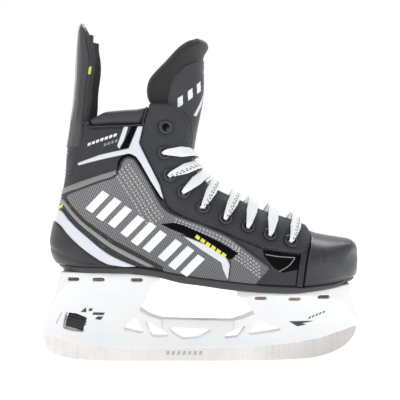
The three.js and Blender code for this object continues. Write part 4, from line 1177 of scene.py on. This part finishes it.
def footbed():
    """A thin cupped insole on the board of the boot."""
    heights = [(-150, 98.4), (-62, 98.4), (-30, 94), (10, 87), (60, 83), (150, 86)]
    x = np.linspace(-126.5, 134, detail(110, 30))[:, None]
    v = np.linspace(-1, 1, detail(33, 13))[None]
    z = np.interp(x, *zip(*heights))
    half = np.maximum(half_width(x, z) - 9.4, 2.0)
    cup = 1.1 * smooth(np.abs(v), 0.72, 1) ** 2
    sheet = Sheet(np.stack([x + 0 * v, half * v, z + cup - 0.2], -1))
    insole = make("insole", *slab(sheet, sheet.edge, 0, -4.2, edge=1.6, wall=0.4), "footbed",
                  slot="footbed_foam")
    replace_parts(insole, "footbed")


tongue()
tendon_guard()
footbed()


# ---- lace, eyelets and rivets --------------------------------------------------------------------
CROWNS = [None, (-5, 196.5), (-1.5, 185.5), (5, 177.5), (15, 169.5), (34, 159), (49, 152.5), (68, 145),
          (90, 137)]
UNDER_LIP, OVER_LIP = -7.0, 2.7
LACE_WIDTH, LACE_THICKNESS = 9.6, 1.5
UPWARD = np.array((0.6, 0, 0.8))
RIVETS = [(-93, 81.4, 20), (-58, 81, 20), (-116, 81.6, 17), (55, 65.2, 28), (86, 64.2, 28), (112, 66.3, 24)]


def at_side(xz, side, lift):
    """A point lifted off the boot's surface, on the side where Y has the sign of `side`, and its normal."""
    points, normals = on_side([xz], lift)
    turn = np.array((1, -side, 1))
    return points[0] * turn, normals[0] * turn


def centripetal(points, per_span):
    """A smooth curve through points that doesn't overshoot where they lie close together."""
    p = np.asarray(points, float)
    p = np.vstack([2 * p[0] - p[1], p, 2 * p[-1] - p[-2]])
    curve = []
    for k in range(1, len(p) - 2):
        a, b, c, d = p[k - 1:k + 3]
        steps = np.maximum(np.linalg.norm([b - a, c - b, d - c], axis=1), 1e-6) ** 0.5
        t = np.concatenate([[0], np.cumsum(steps)])
        u = np.linspace(t[1], t[2], per_span, endpoint=False)[:, None]
        ab = (a * (t[1] - u) + b * (u - t[0])) / (t[1] - t[0])
        bc = (b * (t[2] - u) + c * (u - t[1])) / (t[2] - t[1])
        cd = (c * (t[3] - u) + d * (u - t[2])) / (t[3] - t[2])
        abc = (ab * (t[2] - u) + bc * (u - t[0])) / (t[2] - t[0])
        bcd = (bc * (t[3] - u) + cd * (u - t[1])) / (t[3] - t[1])
        curve.append((abc * (t[2] - u) + bcd * (u - t[1])) / (t[2] - t[1]))
    return np.vstack(curve + [p[-2:-1]])


def lace_ribbon(points, ups, widths, twist=0.0):
    """A flat braid along a curve. Returns its points, polygons and a (length, width) pair for every point."""
    line = centripetal(points, detail(26, 10))
    at = np.linspace(0, len(points) - 1, len(line))
    up = np.stack([np.interp(at, range(len(ups)), column) for column in np.asarray(ups, float).T], -1)
    width = np.interp(at, range(len(widths)), widths)
    ahead = unit(np.gradient(line, axis=0))
    aside = unit(np.cross(ahead, up))
    top = np.cross(aside, ahead)
    lean = twist * np.sin(at * 1.9)[:, None]
    aside, top = aside * np.cos(lean) + top * np.sin(lean), top * np.cos(lean) - aside * np.sin(lean)
    ring = 16
    angle = 2 * math.pi * np.arange(ring) / ring
    across = np.sign(np.cos(angle)) * np.abs(np.cos(angle)) ** 0.55
    rise = np.sign(np.sin(angle)) * np.abs(np.sin(angle)) ** 0.75
    bow = 1 + 0.25 * (1 - np.abs(across)) * (rise > 0)
    thick = LACE_THICKNESS * np.clip(3.4 / np.maximum(width, 0.1), 1, 1.6)
    grid = (line[:, None] + aside[:, None] * (width[:, None] / 2 * across)[..., None]
            + top[:, None] * (thick[:, None] / 2 * rise * bow)[..., None])
    run = np.concatenate([[0], np.cumsum(np.linalg.norm(np.diff(line, axis=0), axis=1))])
    lengthwise = np.broadcast_to(run[:, None], (len(line), ring))
    uv = np.stack([lengthwise, width[:, None] / 2 * across[None]], -1) * MM
    return grid.reshape(-1, 3), tube(len(line), ring), uv.reshape(-1, 2)


def towards(start, end, share):
    """A point part of the way from one to another."""
    return tuple(a + (b - a) * share for a, b in zip(start, end))


def lace_strand(index, side):
    """The lace from one eyelet, over the lip and the tongue, down under the opposite lip."""
    eyelet, after, crown = EYELETS[index], EYELETS[index - 1], CROWNS[index]
    near = at_side(eyelet, side, 0)[1]
    far = at_side(after, -side, 0)[1]
    middle = np.array((crown[0], 0, crown[1] + (0.5 if side > 0 else -0.5)))
    stops = [(eyelet, side, UNDER_LIP), (eyelet, side, OVER_LIP),
             (towards(eyelet, crown, 0.5), side, OVER_LIP), (towards(eyelet, crown, 0.85), side, OVER_LIP),
             None,
             (towards(after, crown, 0.8), -side, UNDER_LIP), (towards(after, crown, 0.5), -side, UNDER_LIP),
             (towards(after, crown, 0.35) if index == 1 else after, -side, UNDER_LIP)]
    points = [middle if stop is None else at_side(*stop)[0] for stop in stops]
    ups = [UPWARD, near, near, near + UPWARD, UPWARD, far + UPWARD, far, far]
    widths = [2.6, 4.2, LACE_WIDTH, LACE_WIDTH, LACE_WIDTH, LACE_WIDTH, 6, 3]
    return lace_ribbon(points, ups, widths, twist=0.12 * side)


def lacing():
    """The whole lace as one piece: a strand under the last pair of eyelets, and a crossing at every other."""
    last, crown = EYELETS[-1], CROWNS[-1]
    ends = [at_side(last, side, UNDER_LIP) for side in (-1, 1)]
    middle = np.array((crown[0] - 3, 0, crown[1] - 3))
    strands = [lace_ribbon([ends[0][0], middle, ends[1][0]], [ends[0][1], UPWARD, ends[1][1]],
                           [3, LACE_WIDTH, 3])]
    strands += [lace_strand(index, side) for index in range(1, len(EYELETS)) for side in (-1, 1)]
    points, polygons = gather([strand[:2] for strand in strands])
    dashed = (2, 3, 4, 7, 8, 9, 15)
    uv = np.vstack([strand[2] + (0, MARKED if k in dashed else 0) for k, strand in enumerate(strands)])
    lace = make("lacing", points, polygons, "lace", slot="lace", sharp=80)
    layer = lace.data.uv_layers.new(name="lace")
    corners = np.empty(len(lace.data.loops), int)
    lace.data.loops.foreach_get("vertex_index", corners)
    layer.data.foreach_set("uv", uv[corners].ravel())
    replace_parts(lace, "lace")


def lathe(profile, centre, axis, segments):
    """A turned ring or knob: the profile is [radius, height] round a closed loop, heights along the axis."""
    axis = np.asarray(axis, float) / np.linalg.norm(axis)
    side = np.cross(axis, (0.31, 0.2, 0.93))
    side /= np.linalg.norm(side)
    other = np.cross(axis, side)
    angle = 2 * math.pi * np.arange(segments) / segments
    profile = np.asarray(profile, float)
    spokes = np.cos(angle)[:, None] * side + np.sin(angle)[:, None] * other
    grid = np.asarray(centre) + spokes[:, None] * profile[None, :, 0:1] + axis * profile[None, :, 1:2]
    ring = len(profile)
    polygons = [[i * ring + k, (i + 1) % segments * ring + k, (i + 1) % segments * ring + (k + 1) % ring,
                 i * ring + (k + 1) % ring] for i in range(segments) for k in range(ring)]
    return grid.reshape(-1, 3), polygons


def eyelets_and_rivets():
    """The rings of the eyelets, and the rivets' heads under the sole. A rivet's spot is [x, z, y]."""
    ring = [(3.1, -4.2), (4.4, -4.2), (4.4, 0.2), (5.6, 0.25), (6.05, 0.5), (6.0, 0.95), (5.4, 1.45),
            (4.5, 1.6), (3.7, 1.3), (3.2, 0.6)]
    head = [(0.001, -1.3), (1.3, -1.28), (2.5, -1.1), (3.2, -0.8), (3.45, -0.4), (3.4, -0.1), (1.7, -0.1),
            (1.7, 4), (0.001, 4)]
    segments = detail(44, 20)
    for label, side in SIDES:
        for k, spot in enumerate(EYELETS):
            form = lathe(ring, *at_side(spot, side, -0.25), segments)
            piece = make(f"eyelet_ring_{label}_{k + 1}", *form, "eyelet", slot="eyelet_black")
            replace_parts(piece, f"eyelet_{label}_{k + 1}")
        for k, (x, z, y) in enumerate(RIVETS):
            form = lathe(head, (x, side * y, z - 0.2), (0, 0, 1), segments)
            piece = make(f"rivet_head_{label}_{k + 1}", *form, "copper", slot="copper")
            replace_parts(piece, f"rivet_{label}_{k + 1}")


lacing()
eyelets_and_rivets()


# ---- blade holder and runner -----------------------------------------------------------------------
HOLDER_BOTTOM = [(132, 29.5), (113, 22.5), (85, 17.3), (47, 14), (0, 12.6), (-57, 11.7), (-90, 13.6),
                 (-118, 18.3), (-145, 25.6)]
RUNNER_EDGE = [(148.4, 35.4), (147.8, 29), (145, 23), (140, 17), (133, 11.9), (123.5, 7.2), (112, 3.9),
               (98, 2), (75, 0.9), (20, 0), (-30, 0), (-80, 0), (-112, 0.9), (-124, 2.6), (-134, 4.8),
               (-142.5, 8.8), (-147, 16.5), (-148.6, 22.5)]
STEEL_HALF = 1.5


def rounded_copy(name, node, voxel, rounds):
    """A CAD node remeshed finely and smoothed, so that its edges are rounded like a moulding's."""
    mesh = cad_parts[node].data.copy()
    mesh.transform(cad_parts[node].matrix_world)
    piece = bpy.data.objects.new(name, mesh)
    bpy.context.scene.collection.objects.link(piece)
    remesh = piece.modifiers.new("remesh", "REMESH")
    remesh.mode = "VOXEL"
    remesh.voxel_size = voxel * MM
    soften = piece.modifiers.new("smooth", "SMOOTH")
    soften.factor = 0.5
    soften.iterations = rounds
    done = bpy.data.meshes.new_from_object(piece.evaluated_get(bpy.context.evaluated_depsgraph_get()))
    piece.modifiers.clear()
    piece.data = done
    done.shade_smooth()
    return piece


def dress(mesh, material):
    """Gives a mesh one material in place of its own."""
    mesh.materials.clear()
    mesh.materials.append(MATERIALS[material])


def holder():
    """The holder's moulding, with its edges rounded."""
    piece = rounded_copy("holder_body", "blade_holder", detail(0.85, 1.6), 3)
    dress(piece.data, "nylon")
    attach(piece, "boot")
    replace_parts(piece, "blade_holder")
    return piece


def holder_marks(body):
    """Plain wedges and dashes on the holder's towers, a painted shadow line on the rear tower, and a row of
    etched dashes on the steel.
    """
    tree = BVHTree.FromPolygons([body.matrix_world @ v.co for v in body.data.vertices],
                                [tuple(p.vertices) for p in body.data.polygons])
    pitch, outside = 0.5, -0.1

    def on_holder(grid):
        y = np.full(grid.x.shape, np.nan)
        for i in np.ndindex(y.shape):
            start = Vector((grid.x[i] * MM, outside, grid.z[i] * MM))
            hit = tree.ray_cast(start, Vector((0, 1, 0)))[0]
            if hit:
                y[i] = hit.y / MM
        y[np.isnan(y)] = np.nanmedian(y)
        return y

    def on_steel(grid):
        return np.full(grid.x.shape, -STEEL_HALF)

    def mark(name, outlines, material, top=0.18, surface=on_holder, body="boot"):
        parts = []
        for outline in outlines:
            grid = patch(outline, pitch)
            sheet = Sheet(np.stack([grid.x, surface(grid), grid.z], -1))
            sheet.normals = np.where(sheet.normals[..., 1:2] > 0, -1, 1) * sheet.normals
            parts.append(slab(sheet, inside(outline, sheet), top, -0.5, edge=0.3, wall=0.7))
        pair_of(name, *gather(parts), material, body=body)

    rear = [[(-112, 47.8), (-106.2, 52.6), (-106.2, 47.4)],
            [(-103.2, 51.4), (-99.8, 51.4), (-101.2, 48.6), (-104.6, 48.6)],
            [(-99.4, 47.6), (-88.6, 47.2), (-90.4, 44.6), (-101.2, 45)],
            [(-95.8, 43.6), (-90.4, 43.4), (-93.2, 39.8), (-98.8, 41)]]
    mark("rear_mark_bars", rear, "holder_print")
    front = [leaning_bar((102.5 + 3.2 * k, 42.6 + 1.45 * k), (0.91, 0.41), (0.3, 0.95), 2.1, 2.6)
             for k in range(5)]
    mark("front_mark_bars", [[(83, 39), (107.6, 39.6), (96, 36.8), (100, 35.8), (91.4, 33.8)]] + front,
         "holder_print")
    # A painted shadow line along the rear tower's edge, in the pale grey that also serves the steel's etched
    # dashes.
    mark("rear_painted_shadow_line", [[(-134.6, 36), (-135.4, 37), (-129.8, 47.6), (-128.9, 47)]], "holder_shade", 0.12)
    etched = [leaning_bar((-30.5 + 5.2 * k, 7.4), (1, 0), (0.26, 0.96), 3, 4.4) for k in range(7)]
    mark("runner_marks", etched, "holder_shade", 0.04, on_steel, "runner")


def runner():
    """The steel: a flat blade with bevelled rims, hollow-ground along the edge that meets the ice."""
    edge = along(RUNNER_EDGE, detail(2.0, 6.0))
    top = along([(x, z + 4.6) for x, z in HOLDER_BOTTOM], 4.0)
    loop = np.vstack([edge, [(-145.5, 27.5)], top[::-1][1:-1], [(140, 37.5)]])
    ahead = unit(np.roll(loop, -1, axis=0) - np.roll(loop, 1, axis=0))
    inward = np.stack([ahead[:, 1], -ahead[:, 0]], -1)
    probe = 40
    if inside_distance([tuple(p) for p in loop], *(loop + inward)[probe:probe + 1].T)[0] < 0:
        inward = -inward
    section = [(0.55, -STEEL_HALF), (0.0, -1.22), (0.12, -0.6), (0.25, 0.0), (0.12, 0.6), (0.0, 1.22),
               (0.55, STEEL_HALF)]
    grid = np.vstack([np.insert(loop + inward * depth, 1, y, axis=1) for depth, y in section])
    ends = ((-100.7, -87.7), (-STEEL_HALF, STEEL_HALF), (20, 36.4))
    post = np.array([(x, y, z) for x in ends[0] for y in ends[1] for z in ends[2]], float)
    box = [[0, 1, 3, 2], [4, 6, 7, 5], [0, 4, 5, 1], [2, 3, 7, 6], [0, 2, 6, 4], [1, 5, 7, 3]]
    points, polygons = gather([(grid, tube(len(section), len(loop))), (post, box)])
    steel = make("steel_blade", points, polygons, "steel", body="runner", sharp=24, slot="runner_steel")
    edit_mesh(steel, lambda work: bmesh.ops.recalc_face_normals(work, faces=work.faces))
    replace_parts(steel, "runner")


def lock():
    """The lock's wheel and screw keep their CAD shapes, with finishes of their own."""
    dress(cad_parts["lock_wheel"].data, "wheel")
    dress(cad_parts["lock_screw"].data, "steel")


holder_marks(holder())
runner()
lock()


# ---- floor, lights and camera --------------------------------------------------------------------
CAMERA_DISTANCE, CAMERA_HEIGHT, FIELD_WIDTH = 0.720, 0.1525, 0.380
LIT_POINT = (0, 0, 0.15)


def link(thing):
    """Puts an object into the scene."""
    bpy.context.scene.collection.objects.link(thing)
    return thing


def soft_light(name, place, size, power):
    """A rectangular light that faces the middle of the skate."""
    data = bpy.data.lights.new(name, "AREA")
    data.shape = "RECTANGLE"
    data.size, data.size_y = size
    data.energy = power
    light = link(bpy.data.objects.new(name, data))
    light.location = place
    light.rotation_euler = (Vector(LIT_POINT) - Vector(place)).to_track_quat("-Z", "Y").to_euler()


def surround():
    """A white world that is dimmer overhead than at the sides."""
    world = bpy.data.worlds.new("studio")
    world.use_nodes = True
    tree = world.node_tree
    height = tree.nodes.new("ShaderNodeSeparateXYZ")
    tree.links.new(tree.nodes.new("ShaderNodeTexCoord").outputs["Generated"], height.inputs["Vector"])
    fade = tree.nodes.new("ShaderNodeMapRange")
    for key, value in (("From Min", 0.34), ("From Max", 0.6), ("To Min", 1.0), ("To Max", 0.35)):
        fade.inputs[key].default_value = value
    tree.links.new(height.outputs["Z"], fade.inputs["Value"])
    tree.links.new(fade.outputs["Result"], tree.nodes["Background"].inputs["Strength"])
    tree.nodes["Background"].inputs["Color"].default_value = (1, 1, 1, 1)
    bpy.context.scene.world = world
    bpy.context.scene.view_settings.view_transform = "Standard"


def floor():
    """A pale floor that gives a little light of its own, so that it stays near white."""
    m = Nodes("studio_floor")
    speckle = m.mix(m.noise(3, 3), srgb(246, 246, 247), srgb(250, 250, 250))
    material = m.finish(Base_Color=speckle, Roughness=0.75, Emission_Color=(1, 1, 1, 1),
                        Emission_Strength=0.52)
    mesh = bpy.data.meshes.new("floor")
    reach, steps, below_steel = 3.0, 12, 0.0004
    grid = np.linspace(-reach, reach, steps + 1)
    row = steps + 1
    quads = [[i * row + j, (i + 1) * row + j, (i + 1) * row + j + 1, i * row + j + 1]
             for i in range(steps) for j in range(steps)]
    mesh.from_pydata([(x, y, 0.0) for x in grid for y in grid], [], quads)
    mesh.materials.append(material)
    plane = link(bpy.data.objects.new("floor", mesh))
    plane.location.z = -below_steel


def studio():
    """A plain white room with three soft lights. The camera looks along +Y at the lateral side."""
    surround()
    floor()
    soft_light("key", (-0.75, -1.15, 1.35), (0.9, 0.7), 4.2)
    soft_light("fill", (1.3, -0.9, 0.9), (0.8, 0.8), 1.6)
    soft_light("overhead", (0.15, 0.7, 1.35), (1.4, 0.6), 14)
    camera = bpy.data.cameras.new("camera")
    camera.sensor_width = 36
    camera.lens = camera.sensor_width * CAMERA_DISTANCE / FIELD_WIDTH
    eye = link(bpy.data.objects.new("camera", camera))
    eye.location = (0, -CAMERA_DISTANCE, CAMERA_HEIGHT)
    eye.rotation_euler = (math.pi / 2, 0, 0)
    bpy.context.scene.camera = eye


studio()
